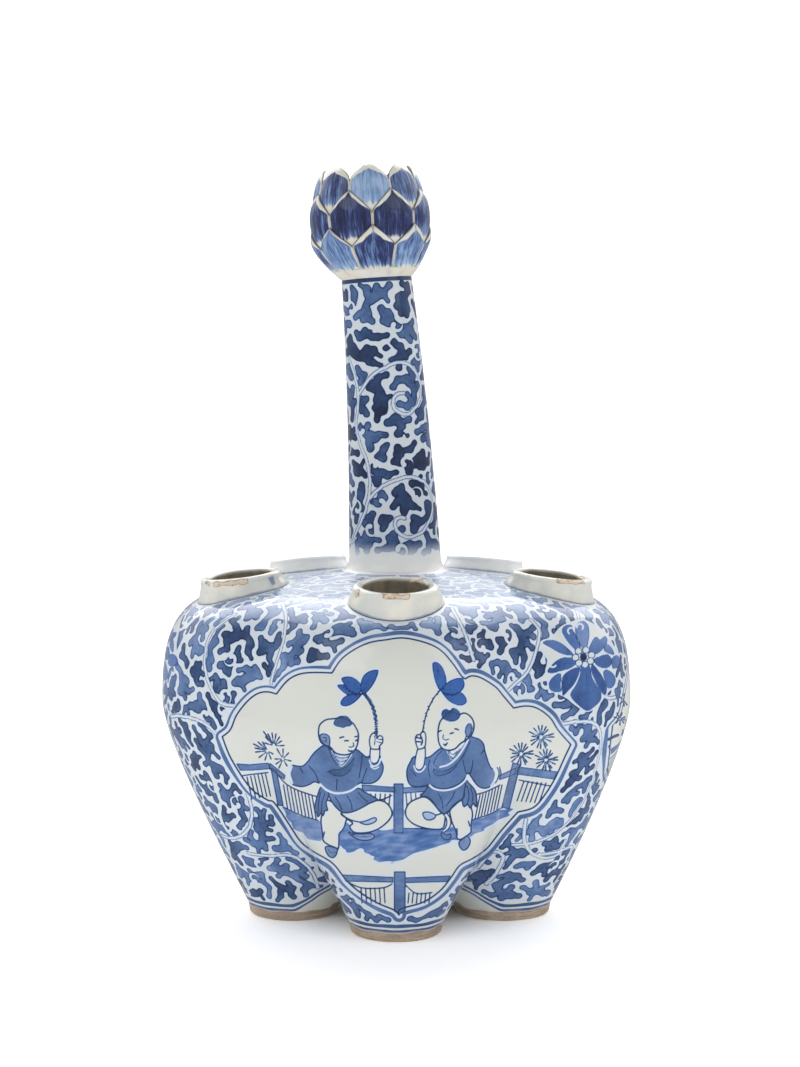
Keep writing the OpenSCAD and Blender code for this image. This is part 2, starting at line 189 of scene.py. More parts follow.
class PaintSizes(bpy.types.PropertyGroup):
    """Fineness of the painted skins and measures of the brush work."""

    grid: length("Grid", "Spacing of the points that carry the painting", 0.33)
    leaf_gap: length("Leaf gap", "White left between neighbouring leaves", 0.78)
    leaf_swell: length("Leaf swell", "How far leaves are swelled after they have grown", 0.1)
    vine_w: length("Vine width", "Half width of a white vine", 0.45)
    curls: FloatProperty(name="Curls", description="Share of leaves with a comma", default=0.4, min=0,
        max=1)
    seed: IntProperty(name="Seed", description="Start of the random numbers for leaves", default=11, min=0)


class GlazeColours(bpy.types.PropertyGroup):
    """Colours of the glaze, the cobalt and the clay."""

    white: colour("Glaze white", "Clear glaze over the white body", 214, 216, 210)
    # Painted glare: near-white that stands in for reflected light at the neck's foot and on the back
    # collars
    bloom: colour("Bloom", "Thick white glaze at the neck's foot and on the back collars", 247, 247, 244)
    tint: colour("Tint", "Faint blue that bleeds round painting", 206, 217, 230)
    pale: colour("Pale wash", "Thinnest cobalt wash", 156, 176, 208)
    mid: colour("Middle wash", "Common strength of cobalt", 92, 121, 167)
    deep: colour("Deep cobalt", "Strong cobalt in leaves and outlines", 44, 71, 113)
    bright: colour("Bright wash", "Common strength of cobalt where it fired clear", 62, 108, 178)
    royal: colour("Bright cobalt", "Strong cobalt where it fired clear", 24, 64, 134)
    ink: colour("Ink", "Pooled cobalt in the darkest lines", 22, 34, 64)
    cream: colour("Bud cream", "Thick glaze in the bud", 214, 208, 190)
    blush: colour("Blush", "Pinkish violet in the cream of the bud", 190, 158, 168)
    steel: colour("Bud steel", "Light steel blue of the bud", 136, 164, 198)
    violet: colour("Bud violet", "Overfired blue of the bud", 46, 56, 104)
    celadon: colour("Thick glaze", "Greenish glaze where it has pooled", 232, 230, 218)
    bore: colour("Bore", "Dull inside of a collar", 150, 142, 124)
    biscuit: colour("Biscuit", "Unglazed clay of the feet", 192, 172, 150)
    chip: colour("Chip", "Pale clay in the chips", 220, 204, 182)
    fritted: colour("Frit", "Burnt edge where glaze has chipped from a rim", 158, 126, 102)


class StageSettings(bpy.types.PropertyGroup):
    """Camera, floor and light."""

    camera_x: length("Camera across", "Place of the camera across the view", 1.2)
    camera_d: length("Camera distance", "Distance of the camera in front of the axis", 710)
    camera_z: length("Camera height", "Height of the camera", 177.4)
    pitch: angle("Pitch", "Downward tilt of the camera", 4.52)
    focal: FloatProperty(name="Focal", description="Focal length in widths of the picture", default=2.75)
    key: FloatProperty(name="Key light", description="Power of the main lamp in watts", default=3.2)
    back: FloatProperty(name="Back light", description="Power of the lamp behind in watts", default=26.0)
    sky: FloatProperty(name="Sky", description="Strength of the light from all round", default=0.46)
    card: FloatProperty(name="Card", description="Brightness behind, for the gloss", default=1.0, min=0)


class Sizes:
    """Values of a property group, with lengths in millimetres."""

    def __init__(self, group):
        for item in group.bl_rna.properties:
            if item.identifier not in ("rna_type", "name"):
                value = getattr(group, item.identifier)
                is_length = getattr(item, "unit", "") == "LENGTH"
                setattr(self, item.identifier, value / MM if is_length else value)


def sizes(name):
    """The settings group of that name on the scene."""
    return Sizes(getattr(bpy.context.scene, "vase_" + name))


# Curves


def smooth(t):
    """Eases from 0 to 1: three t squared less two t cubed."""
    return t * t * (3 - 2 * t)


def fade(value, low, high):
    """Eased share of the way from low to high, kept between 0 and 1."""
    return smooth(np.clip((value - low) / (high - low), 0, 1))


def bezier(p, t):
    """Cubic curve: four control points weighted by the Bernstein terms of t."""
    p, t = np.asarray(p, float), np.asarray(t, float)[..., None]
    return (1 - t) ** 3 * p[0] + 3 * t * (1 - t) ** 2 * p[1] + 3 * t * t * (1 - t) * p[2] + t**3 * p[3]


def inset(p, t, depth):
    """Point of the curve moved square to it, towards the axis, by a depth."""
    p, s = np.asarray(p, float), np.asarray(t, float)[..., None]
    d = (1 - s) ** 2 * (p[1] - p[0]) + 2 * s * (1 - s) * (p[2] - p[1]) + s * s * (p[3] - p[2])
    d = d / np.linalg.norm(d, axis=-1, keepdims=True)
    square = np.stack([d[..., 1], -d[..., 0]], -1)
    return bezier(p, t) - np.asarray(depth, float)[..., None] * square


def even(p, t0, t1, count):
    """Places from t0 to t1 that cut the curve into that many equal lengths."""
    t = np.linspace(t0, t1, 2001)
    run = np.r_[0, np.cumsum(np.linalg.norm(np.diff(bezier(p, t), axis=0), axis=1))]
    return np.interp(np.linspace(0, run[-1], count + 1), run, t)


def curve_length(p):
    """Length of the curve, as a sum of short chords."""
    return np.linalg.norm(np.diff(bezier(p, np.linspace(0, 1, 400)), axis=0), axis=1).sum()


def spline(points, closed=False, steps=6):
    """Smooth curve through points: each span blends its four neighbours by the Catmull-Rom weights."""
    p = np.asarray(points, float)
    p = np.concatenate([p[-1:], p, p[:2]]) if closed else np.concatenate([p[:1], p, p[-1:]])
    t = (np.arange(steps) / steps)[None, :, None]
    a, b, c, d = (p[i : len(p) - 3 + i, None] for i in range(4))
    run = 0.5 * (2 * b + (c - a) * t + (2 * a - 5 * b + 4 * c - d) * t**2 + (3 * b - a - 3 * c + d) * t**3)
    run = run.reshape(-1, p.shape[1])
    return np.concatenate([run, run[:1]]) if closed else np.concatenate([run, p[-2:-1]])


def turn(points, about):
    """Points turned about the upright axis by an angle, or by one angle each."""
    c, s = np.cos(about), np.sin(about)
    x, y = points[..., 0], points[..., 1]
    return np.stack([c * x - s * y, s * x + c * y, points[..., 2]], -1)


def stray(points):
    """Points of the hand-made form, which strays from a true one: a little wider all over, further out
    at the right and front legs, and to the left at the bud. Each shift fades with height."""
    x, y, z = (points[..., k] for k in range(3))
    low = fade(z, 82, 2)
    across = STRAY_WIDTH * x + STRAY_RIGHT * fade(x, 12, 52) * low - STRAY_BUD * fade(z, 203, 213)
    return points + np.stack([across, -STRAY_FRONT * fade(-y, 12, 52) * low, 0 * z], -1)


def unit(v):
    """Vectors scaled to length one."""
    return v / np.maximum(np.linalg.norm(v, axis=-1, keepdims=True), 1e-9)


# Meshes


class Shell:
    """Grids and strips of points, gathered into one closed mesh."""

    def __init__(self):
        self.points, self.normals, self.values, self.faces, self.total = [], [], [], [], 0

    def add(self, points, normals=None, **values):
        """Takes a block of points with its normals and painted values, and gives back their numbers."""
        shape = points.shape[:-1]
        count = int(np.prod(shape))
        self.points.append(points.reshape(count, 3))
        self.normals.append(np.zeros((count, 3)) if normals is None else normals.reshape(count, 3))
        self.values.append({k: np.broadcast_to(v, shape).reshape(count) for k, v in values.items()})
        self.total += count
        return np.arange(self.total - count, self.total).reshape(shape)

    def sheet(self, index, flip=False, keep=None):
        """Four-sided faces between neighbouring rows and columns of a block."""
        corners = [index[:-1, :-1], index[:-1, 1:], index[1:, 1:], index[1:, :-1]]
        quads = np.stack(corners, -1).reshape(-1, 4)
        quads = quads if keep is None else quads[keep.ravel()]
        self.faces.append(quads[:, ::-1] if flip else quads)

    def strip(self, a, b, flip=False, at_a=None, at_b=None):
        """Triangles between two runs of points. Each edge of one run takes the point of the other run that
        has been reached at the middle of the edge."""
        at_a = np.linspace(0, 1, len(a)) if at_a is None else at_a
        at_b = np.linspace(0, 1, len(b)) if at_b is None else at_b
        mid_a, mid_b = (at_a[1:] + at_a[:-1]) / 2, (at_b[1:] + at_b[:-1]) / 2
        reached_b = b[np.searchsorted(mid_b, mid_a)]
        reached_a = a[np.searchsorted(mid_a, mid_b, side="right")]
        faces = np.concatenate([
            np.stack([a[:-1], a[1:], reached_b, reached_b], -1),
            np.stack([reached_a, b[1:], b[:-1], b[:-1]], -1),
        ])
        self.faces.append(faces[:, ::-1] if flip else faces)

    def ring(self, a, b, at_a, at_b, flip=False):
        """A strip between two closed runs that are placed by their angles."""
        a, b = np.r_[a, a[0]], np.r_[b, b[0]]
        self.strip(a, b, flip, np.r_[at_a, at_a[0] + 2 * math.pi], np.r_[at_b, at_b[0] + 2 * math.pi])

    def piece(self, name, material, true=False):
        """Welds equal points, drops empty faces and unused points, and makes the object, in its
        hand-made form unless it is true."""
        co = np.concatenate(self.points)
        key = np.round(co * 1e4).astype(np.int64)
        _, first, where = np.unique(key, axis=0, return_index=True, return_inverse=True)
        faces = where.reshape(-1)[np.concatenate(self.faces)]
        kept = faces != np.roll(faces, 1, axis=1)
        kept[kept.sum(1) < 3] = False
        corners, counts = faces[kept], kept.sum(1)
        counts = counts[counts > 0]
        used, corners = np.unique(corners, return_inverse=True)
        source = first[used]
        mesh = bpy.data.meshes.new(name)
        mesh.vertices.add(len(source))
        placed = co[source] if true else stray(co[source])
        mesh.vertices.foreach_set("co", (placed * MM).astype(np.float32).ravel())
        mesh.loops.add(len(corners))
        mesh.loops.foreach_set("vertex_index", corners.reshape(-1).astype(np.int32))
        mesh.polygons.add(len(counts))
        mesh.polygons.foreach_set("loop_start", np.r_[0, np.cumsum(counts)[:-1]].astype(np.int32))
        mesh.polygons.foreach_set("use_smooth", np.ones(len(counts), bool))
        for field in sorted(set().union(*self.values)):
            blocks = [v.get(field, np.zeros(len(p))) for v, p in zip(self.values, self.points)]
            layer = mesh.attributes.new(field, "FLOAT", "POINT")
            layer.data.foreach_set("value", np.concatenate(blocks)[source].astype(np.float32))
        mesh.update(calc_edges=True)
        normals = np.concatenate(self.normals)[source]
        if np.any(normals):
            mesh.normals_split_custom_set_from_vertices(normals.astype(np.float32))
        mesh.materials.append(material)
        made = bpy.data.objects.new(name, mesh)
        bpy.context.scene.collection.objects.link(made)
        return made


def carry(made, slot, *nodes):
    """Sets a finished piece on the vase in place of the packed solids that it stands for."""
    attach(made, "root")
    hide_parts(*nodes)


def grid_normals(points, wrap):
    """Normals of a grid of points: the step along a row crossed with the step up a column."""
    if wrap:
        across = np.roll(points, -1, axis=1) - np.roll(points, 1, axis=1)
    else:
        across = np.gradient(points, axis=1)
    return unit(np.cross(across, np.gradient(points, axis=0)))


# The lobed body


class Body:
    """The lobed form. A level is a ring of equal circles whose centres stand round the axis; the crest
    follows one cubic curve from foot to seam and another from seam to neck."""

    def __init__(self, s, seat_r):
        self.s = s
        self.axis_y = s.lobe_c * (1 - math.cos(HALF_STEP)) / 2
        self.lower = [
            [s.leg_c + s.leg_r, s.foot_h],
            [s.leg_c + s.leg_r + s.leg_flare, s.foot_h + s.leg_rise],
            [s.body_r, s.seam_z - s.belly_round],
            [s.body_r, s.seam_z],
        ]
        self.upper = [
            [s.body_r, s.seam_z],
            [s.body_r, s.shoulder_z - s.edge_drop],
            [s.shoulder_r, s.shoulder_z - s.shoulder_fall],
            [seat_r, s.shoulder_z],
        ]

    def lower_levels(self, t, depth):
        """Centre distance, circle radius and height of levels below the seam."""
        q = inset(self.lower, t, np.full(np.shape(t), depth))
        c = self.s.leg_c + (self.s.lobe_c - self.s.leg_c) * smooth(t)
        return c, q[..., 0] - c, q[..., 1]

    def upper_levels(self, t, depth):
        """Centre distance, circle radius and height of levels above the seam."""
        q = inset(self.upper, t, np.full(np.shape(t), depth))
        c = self.s.lobe_c * (1 - smooth(t))
        return c, q[..., 0] - c, q[..., 1]

    def fork(self, depth):
        """Place on the lower curve where the circles of neighbouring legs touch."""
        t = np.linspace(0, 1, 4001)
        c, rho, _ = self.lower_levels(t, depth)
        return float(np.interp(0, rho - c * math.sin(HALF_STEP), t))

    @staticmethod
    def reach(c, rho, a):
        """Distance from the axis to the far side of a circle, in a direction off its crest."""
        return c * np.cos(a) + np.sqrt(np.maximum(rho**2 - (c * np.sin(a)) ** 2, 0))

    def lobe(self, c, rho, z, phi, fillet):
        """Points of a lobe with its crest along +X: circle points, pushed out near a valley by the
        square of how far the two neighbouring circles come within the fillet, over four fillets."""
        c, rho, z, fillet = (np.asarray(v, float)[:, None] for v in (c, rho, z, fillet))
        x, y = c + rho * np.cos(phi), rho * np.sin(phi)
        a = np.arctan2(y, x)
        step = np.abs(self.reach(c, rho, a) - self.reach(c, rho, LOBE_STEP - np.abs(a)))
        r = np.hypot(x, y) + np.maximum(fillet - step, 0) ** 2 / (4 * np.maximum(fillet, 1e-6))
        return np.stack([r * np.cos(a), r * np.sin(a), np.broadcast_to(z, r.shape)], -1)

    def skin(self, depth, columns, leg_rows, belly_rows, upper_rows):
        """One lobe from foot to neck at a depth, as rows of points over its outer arc, with the numbers
        of the fork row and the seam row."""
        s, tf = self.s, self.fork(depth)
        tl = even(self.lower, 0, tf, leg_rows)
        tb = even(self.lower, tf, 1, belly_rows)[1:]
        tu = even(self.upper, 0, 1, upper_rows)[1:]
        legs, belly = self.lower_levels(tl, depth), self.lower_levels(tb, depth)
        upper = self.upper_levels(tu, depth)
        c, rho, z = (np.concatenate(v) for v in zip(legs, belly, upper))
        z[0] = s.foot_h
        half = HALF_STEP + np.arcsin(np.clip(c * math.sin(HALF_STEP) / rho, 0, 1))
        half[: leg_rows + 1] = HALF_STEP + math.pi / 2
        fillet = s.valley_fillet * np.r_[0 * tl, smooth((tb - tf) / (1 - tf)), upper[0] / s.lobe_c]
        phi = half[:, None] * np.linspace(-1, 1, columns + 1)[None]
        return self.lobe(c, rho, z, phi, fillet), leg_rows, leg_rows + belly_rows

    def inner_leg(self, depth, columns, leg_rows, vault_rows, rise):
        """The side of a leg towards the axis, and the vault above it, drawn in to the axis on a quarter
        round."""
        t = even(self.lower, 0, self.fork(depth), leg_rows)
        c, rho, z = self.lower_levels(t, depth)
        z[0] = self.s.foot_h
        half = HALF_STEP + math.pi / 2
        phi = np.linspace(half, 2 * math.pi - half, columns + 1)[None]
        leg = self.lobe(c, rho, z, phi, 0 * z)
        u = np.linspace(0, 1, vault_rows + 1)[:, None]
        edge = leg[-1][None]
        vault = edge * np.stack([1 - u, 1 - u, 1 + 0 * u], -1)
        vault[..., 2] = z[-1] + rise * np.sqrt(1 - (1 - u) ** 2)
        return leg, vault

    def shoulder_height(self, x, y):
        """Height of the shoulder over places given in the frame of a lobe, found by halving."""
        a, r = np.arctan2(y, x), np.hypot(x, y)
        low, high = np.zeros_like(r), np.ones_like(r)
        for _ in range(30):
            t = (low + high) / 2
            c, rho, z = self.upper_levels(t, 0)
            outside = self.reach(c, rho, np.clip(a, -HALF_STEP, HALF_STEP)) > r
            low, high = np.where(outside, t, low), np.where(outside, high, t)
        return z

    def place(self, points, lobe):
        """Points of a lobe moved from its own frame to their place on the vase."""
        return turn(points, FRONT + lobe * LOBE_STEP) + np.array([0, self.axis_y, 0])


def collar_frame(body, k):
    """Origin and axes of a collar in the frame of its lobe."""
    origin = np.array([k.centre, 0, float(body.shoulder_height(np.array([k.centre]), np.array([0.0]))[0])])
    x = np.array([math.cos(k.lean), 0, -math.sin(k.lean)])
    z = np.array([math.sin(k.lean), 0, math.cos(k.lean)])
    return origin, np.stack([x, np.array([0, 1.0, 0]), z])


def placed_collar(body, k, lobe):
    """Origin and axes of a collar in its place on the vase."""
    origin, axes = collar_frame(body, k)
    return body.place(origin, lobe), turn(axes, FRONT + lobe * LOBE_STEP)


def pierce(points, origin, axes, radius):
    """Opens a round hole in a grid: faces whose middles lie inside go, and the points round them are
    drawn out to the circle. Gives back the points, the faces kept and the numbers and angles of the rim."""
    local = (points - origin) @ axes.T
    middle = (local[:-1, :-1] + local[1:, :-1] + local[:-1, 1:] + local[1:, 1:]) / 4
    gone = np.hypot(middle[..., 0], middle[..., 1]) < radius
    beside = np.zeros((2,) + points.shape[:2], bool)
    for di in (0, 1):
        for dj in (0, 1):
            view = (slice(di, di + gone.shape[0]), slice(dj, dj + gone.shape[1]))
            beside[0][view] |= gone
            beside[1][view] |= ~gone
    rim = beside[0] & beside[1]
    spread = np.hypot(local[..., 0], local[..., 1])
    grow = np.where(rim, radius / np.maximum(spread, 1e-6), 1)
    local[..., 0] *= grow
    local[..., 1] *= grow
    rows, cols = np.nonzero(rim)
    angles = np.arctan2(local[rows, cols, 1], local[rows, cols, 0])
    order = np.argsort(angles)
    return local @ axes + origin, ~gone, (rows[order], cols[order]), angles[order]


# The neck and the bud


class Neck:
    """The neck tube. Its circles taper, and their centres bend to the left on a quadratic curve."""

    bend = (0.048, 0.482, 0.47)

    def __init__(self, n, foot):
        self.n, self.foot = n, np.asarray(foot, float)

    def profile(self, rows):
        """Radius and height up the outside: a quarter round at the foot and then a straight taper, in
        equal steps."""
        n, a = self.n, np.linspace(0, math.pi / 2, 60)
        r = np.r_[n.base_r + (n.ring_r - n.base_r) * (1 - np.sin(a)), n.top_r]
        h = np.r_[n.flare_h * (1 - np.cos(a)), n.run]
        run = np.r_[0, np.cumsum(np.hypot(np.diff(r), np.diff(h)))]
        at = np.linspace(0, run[-1], rows + 1)
        return np.interp(at, run, r), np.interp(at, run, h)

    def place(self, r, h, theta):
        """Points at radii and heights in given directions. A section tilts from level at the foot to the
        full lean."""
        n = self.n
        share = h / n.run
        tilt = n.lean * smooth(np.clip(share, 0, 1))
        centre = -math.sin(n.lean) * n.run * (self.bend[0] + self.bend[1] * share + self.bend[2] * share**2)
        x, y, z = centre + r * np.cos(theta) * np.cos(tilt), r * np.sin(theta), math.cos(n.lean) * h
        return np.stack(np.broadcast_arrays(x, y, z + r * np.cos(theta) * np.sin(tilt)), -1) + self.foot


class Bud:
    """The bud: an outline of two cubic curves, turned about the leaning axis at the top of the neck."""

    def __init__(self, b, n, foot):
        self.b = b
        self.low = [[n.top_r, 0], [n.top_r + b.toe, b.toe_h],
                    [b.radius, b.mid_h - b.roundness], [b.radius, b.mid_h]]
        self.high = [[b.radius, b.mid_h], [b.radius, b.mid_h + b.roundness],
                     [(b.radius + b.lip_r) / 2, b.height - b.toe_h], [b.lip_r, b.height]]
        self.up = np.array([-math.sin(n.lean), 0, math.cos(n.lean)])
        self.across = np.array([math.cos(n.lean), 0, math.sin(n.lean)])
        self.origin = np.asarray(foot, float) + n.run * self.up

    def outline(self, t, depth):
        """Radius and height at places from 0 at the neck to 2 at the tips, at a depth below the outline."""
        t = np.asarray(t, float)
        depth = np.broadcast_to(np.asarray(depth, float), t.shape)
        low, high = inset(self.low, np.clip(t, 0, 1), depth), inset(self.high, np.clip(t - 1, 0, 1), depth)
        return np.where((t <= 1)[..., None], low, high)

    def at_height(self, h):
        """Place on the outline at a height."""
        t = np.linspace(0, 2, 4001)
        return float(np.interp(h, self.outline(t, 0)[:, 1], t))

    def place(self, rh, theta):
        """Points of the outline turned to given directions."""
        r, h = rh[..., 0:1], rh[..., 1:2]
        theta = np.asarray(theta)[..., None]
        out = np.cos(theta) * self.across + np.sin(theta) * np.array([0, 1.0, 0])
        return self.origin + h * self.up + r * out


def turned(profile):
    """Radii and heights of a profile, closed and repeated round a circle, with their directions."""
    theta = np.linspace(0, 2 * math.pi, ROUND_STEPS + 1) + math.pi / 2
    closed = np.concatenate([profile, profile[:1]])
    rings = np.repeat(closed[:, None], ROUND_STEPS + 1, axis=1)
    return rings, np.broadcast_to(theta, rings.shape[:2])


# Painting


class Canvas:
    """A painted skin: a grid of points and the fields that the glaze material reads. A field is a signed
    distance in millimetres, below zero where there is paint."""

    def __init__(self, points, normals, axis_y):
        self.p, self.n = points, normals
        self.axis = np.array([0, axis_y, 0])
        self.rows, self.cols = points.shape[:2]
        self.col_step = np.median(np.linalg.norm(np.diff(points, axis=1), axis=-1), axis=1) + 1e-3
        self.row_step = np.median(np.linalg.norm(np.diff(points, axis=0), axis=-1)) + 1e-3
        blank = np.full(points.shape[:2], FAR, np.float32)
        self.leaf, self.rival, self.vine, self.hook = blank.copy(), blank.copy(), blank.copy(), blank.copy()
        self.line, self.wash, self.panel = blank.copy(), blank.copy(), blank.copy()
        self.tone, self.wash_tone, self.vivid = 0 * blank, 0 * blank, 0 * blank
        self.bare, self.edge = -blank, -blank
        self.owner = np.full(points.shape[:2], -1)

    def sheet(self, view, spin=0.0):
        """Where the camera sees each point when the vase is turned by an angle: across and down in
        points of the picture, and whether the point faces the camera."""
        p, n = stray(turn(self.p - self.axis, -spin) + self.axis) - self.axis, turn(self.n, -spin)
        x, d, z = p[..., 0] - view.camera_x, p[..., 1] + view.camera_d, p[..., 2] - view.camera_z
        c, s = math.cos(view.pitch), math.sin(view.pitch)
        depth = d * c - z * s
        f = view.focal * SHEET[0]
        facing = n[..., 0] * x + n[..., 1] * d + n[..., 2] * z < -0.03 * depth
        across, down = SHEET[0] / 2 + f * x / depth, SHEET[1] / 2 - f * (z * c + d * s) / depth
        return across, down, facing & (p[..., 1] < 8)

    def window(self, k, j, reach):
        """Rows and columns of the grid within reach of a point."""
        up = int(reach / self.row_step) + 2
        out = min(int(reach / self.col_step[k]) + 2, self.cols // 2 - 1)
        rows = np.arange(max(k - up, 0), min(k + up + 1, self.rows))
        return np.ix_(rows, np.arange(j - out, j + out + 1) % self.cols)

    def tangent(self, k, j):
        """Directions across and up the skin at a point."""
        n = self.n[k, j]
        across = unit(np.cross([0, 0, 1.0], n) + 1e-6)
        return across, np.cross(n, across)

    def locate(self, sheet, path):
        """Rows and columns that the camera sees at the places of a path on the sheet."""
        x, y = (np.where(sheet[2], v, 1e6) for v in sheet[:2])
        skip = 4
        few_x, few_y = x[::skip, ::skip], y[::skip, ::skip]
        spots = []
        for px, py in path:
            k, j = np.unravel_index(np.argmin((few_x - px) ** 2 + (few_y - py) ** 2), few_x.shape)
            rows = np.arange(max(skip * (k - 1), 0), min(skip * (k + 1) + 1, self.rows))
            cols = np.arange(skip * (j - 1), skip * (j + 1) + 1) % self.cols
            area = np.ix_(rows, cols)
            near = (x[area] - px) ** 2 + (y[area] - py) ** 2
            a, b = np.unravel_index(np.argmin(near), near.shape)
            spots.append((rows[a], cols[b]))
        return np.array(spots)

    def spun(self, spots, spin):
        """The same rows and columns turned about the axis by an angle."""
        if not spin:
            return spots
        p = self.p - self.axis
        moved = []
        for k, j in spots:
            row = np.unwrap(np.arctan2(p[k, :, 1], p[k, :, 0]))
            target = row[0] + (row[j] + spin - row[0]) % (2 * math.pi)
            moved.append((k, int(round(np.interp(target, row, np.arange(self.cols)))) % self.cols))
        return np.array(moved)

    def trace(self, target, spots, reach):
        """Lowers a field to the distance from a path over the skin."""
        path = self.p[spots[:, 0], spots[:, 1]]
        for i in range(len(path) - 1):
            step = np.linalg.norm(path[i + 1] - path[i])
            if step < 12:
                area = self.window(*spots[i], reach + step)
                d = rods(self.p[area], path[i : i + 1], path[i + 1 : i + 2], 0.0, 0.0)
                target[area] = np.minimum(target[area], d)

    def stamp(self, k, j, found, tone, owner):
        """Adds rods to a leaf, by its number: their soft union. The distance to the next nearest leaf is
        kept too, so that a gap can be left between the two."""
        starts, ends = (np.array([self.p[self.spot(k, j, *rod[n])] for rod in found]) for n in (0, 1))
        r0, r1 = (np.array([rod[n] for rod in found]) for n in (2, 3))
        area = self.window(k, j, np.linalg.norm(ends - self.p[k, j], axis=1).max() + 3.5)
        d = rods(self.p[area], starts, ends, r0, r1, 3.2)
        leaf, rival, own = self.leaf[area], self.rival[area], self.owner[area] == owner
        near = d < leaf
        self.rival[area] = np.where(own, rival, np.where(near, leaf, np.minimum(rival, d)))
        self.leaf[area] = np.where(own, -np.logaddexp(-3.2 * leaf, -3.2 * d) / 3.2, np.minimum(leaf, d))
        self.tone[area] = np.where(near & ~own, tone, self.tone[area])
        self.owner[area] = np.where(near, owner, self.owner[area])

    def darts(self, rng):
        """Random places all over the skin, three to every two square millimetres."""
        tries = int(1.5 * self.rows * self.row_step * self.cols * self.col_step.mean())
        rows = rng.choice(self.rows, tries, p=self.col_step / self.col_step.sum())
        return zip(rows, rng.integers(self.cols, size=tries))

    def spot(self, k, j, u, v):
        """Row and column at a place that lies u across and v up from a point."""
        row = int(np.clip(k + round(v / self.row_step), 0, self.rows - 1))
        return row, int(j + round(u / self.col_step[row])) % self.cols

    def room(self, row, col):
        """Free distance at a place from leaves, vines, commas and edges."""
        at = row, col
        return min(self.leaf[at], -self.edge[at], self.vine[at] + 0.4, self.hook[at] + 0.3)

    def reach(self, k, j, start, heading, bend, most, r, gap):
        """Places in a bent row from a start, until the free distance gives out, and the radius that fits
        at the end."""
        (u, v), run, end = start, [start], r
        for _ in range(int(most / STRIDE)):
            heading += STRIDE * bend
            u, v = u + STRIDE * math.cos(heading), v + STRIDE * math.sin(heading)
            free = self.room(*self.spot(k, j, u, v)) - gap
            if free < 0.85 * r:
                break
            run.append((u, v))
            end = min(r, free)
        return run, end

    def grow(self, rng, k, j, size, gap, longest):
        """Rods of a leaf: a bent spine both ways from a point, with hooked lobes to either side in turn,
        each as long as the free ground allows. The fullest of six tries with two lobes or more is kept."""
        best, fullest = [], 0
        for _ in range(6):
            found, total, lobes = [], 0, 0
            heading, bend = rng.uniform(0, 2 * math.pi), rng.choice([-1, 1]) * rng.uniform(0.06, 0.2)
            for way, bow, share in ((heading, bend, 0.6), (heading + math.pi, -bend, 0.4)):
                most = longest * share * size * rng.uniform(0.7, 1.2)
                spine, end = self.reach(k, j, (0.0, 0.0), way, bow, most, 1.3 * size, gap)
                if len(spine) < 4:
                    continue
                total += len(spine)
                stops = spine[:-1:4] + [spine[-1]]
                tip, stem = end * rng.choice([0.4, 0.8, 1.0]), 0.85 * size
                for a, b in zip(stops[:-1], stops[1:]):
                    found.append((a, b, stem, tip if b is spine[-1] else stem))
                hand = 1 if way == heading else -1
                for n in range(2, len(spine) - 3, 5):
                    hand = -hand
                    aim = way + STRIDE * n * bow + hand * rng.uniform(0.85, 1.45)
                    hook = -hand * rng.uniform(0.1, 0.36)
                    most, r = rng.uniform(3.0, 4.8) * size, rng.uniform(1.1, 1.5) * size
                    finger, end = self.reach(k, j, spine[n], aim, hook, most, r, gap)
                    if len(finger) > 7:
                        total, lobes = total + len(finger), lobes + 1
                        half, mid = finger[len(finger) // 2], (0.7 * size + end) / 2
                        found += [(spine[n], half, 0.7 * size, mid), (half, finger[-1], mid, end)]
            if lobes > 1 and total > fullest:
                best, fullest = found, total
        return best

    def sprout(self, k, j, size, gap):
        """One more finger for the nearest leaf, out to a free place. The way to the leaf is found by
        steps downhill."""
        u, v, depth = 0.0, 0.0, FAR
        headings = np.arange(12) * math.pi / 6
        for _ in range(14):
            tries = [(u + 0.6 * math.cos(a), v + 0.6 * math.sin(a)) for a in headings]
            depth, (u, v) = min((self.leaf[self.spot(k, j, *place)], place) for place in tries)
            if depth < -0.5 * size:
                break
        at = self.spot(k, j, u, v)
        r = min(1.25 * size, self.rival[k, j] - gap, -self.edge[k, j] - 0.3, self.vine[k, j] - 0.3,
                self.hook[k, j] - 0.3)
        if depth < -0.5 * size and r > 0.75 * size:
            self.stamp(k, j, [((u, v), (0.0, 0.0), 0.6 * size, r)], self.tone[at], self.owner[at])

    def foliage(self, rng, p, size):
        """Fills the free ground with leaves that grow into the space left, large ones first, and then
        with more fingers. White is left between leaves, beside the vines and along the edge of the
        ground."""
        count, gap = 0, p.leaf_gap
        for part, space, longest in LEAF_ROUNDS:
            for k, j in self.darts(rng):
                if self.room(k, j) > space * size:
                    found = self.grow(rng, k, j, size * part, gap, longest)
                    if len(found) > 3:
                        count += 1
                        self.stamp(k, j, found, rng.uniform(0.54, 0.8), count)
                        if longest > 6 and rng.uniform() < p.curls:
                            self.curl(k, j, rng.uniform(0, 6), size * rng.choice([-1, 1]))
        for k, j in (spot for _ in range(2) for spot in self.darts(rng)):
            free = self.leaf[k, j] > 1.35 * size and self.rival[k, j] > gap + 0.75 * size
            if free and self.edge[k, j] < -0.9:
                self.sprout(k, j, size, gap)
        leaf = np.logaddexp(4 * (self.leaf - p.leaf_swell * size), 2 * (gap - self.rival + self.leaf)) / 4
        leaf = np.maximum(leaf, np.maximum(p.vine_w + 0.1 - self.vine, 0.4 - self.hook))
        self.leaf = np.maximum(leaf, self.edge).astype(np.float32)
        beside = np.maximum(np.abs(self.vine - p.vine_w - 0.1) - 0.18, 0.0)
        self.line = np.minimum(self.line, np.maximum(beside, self.edge))

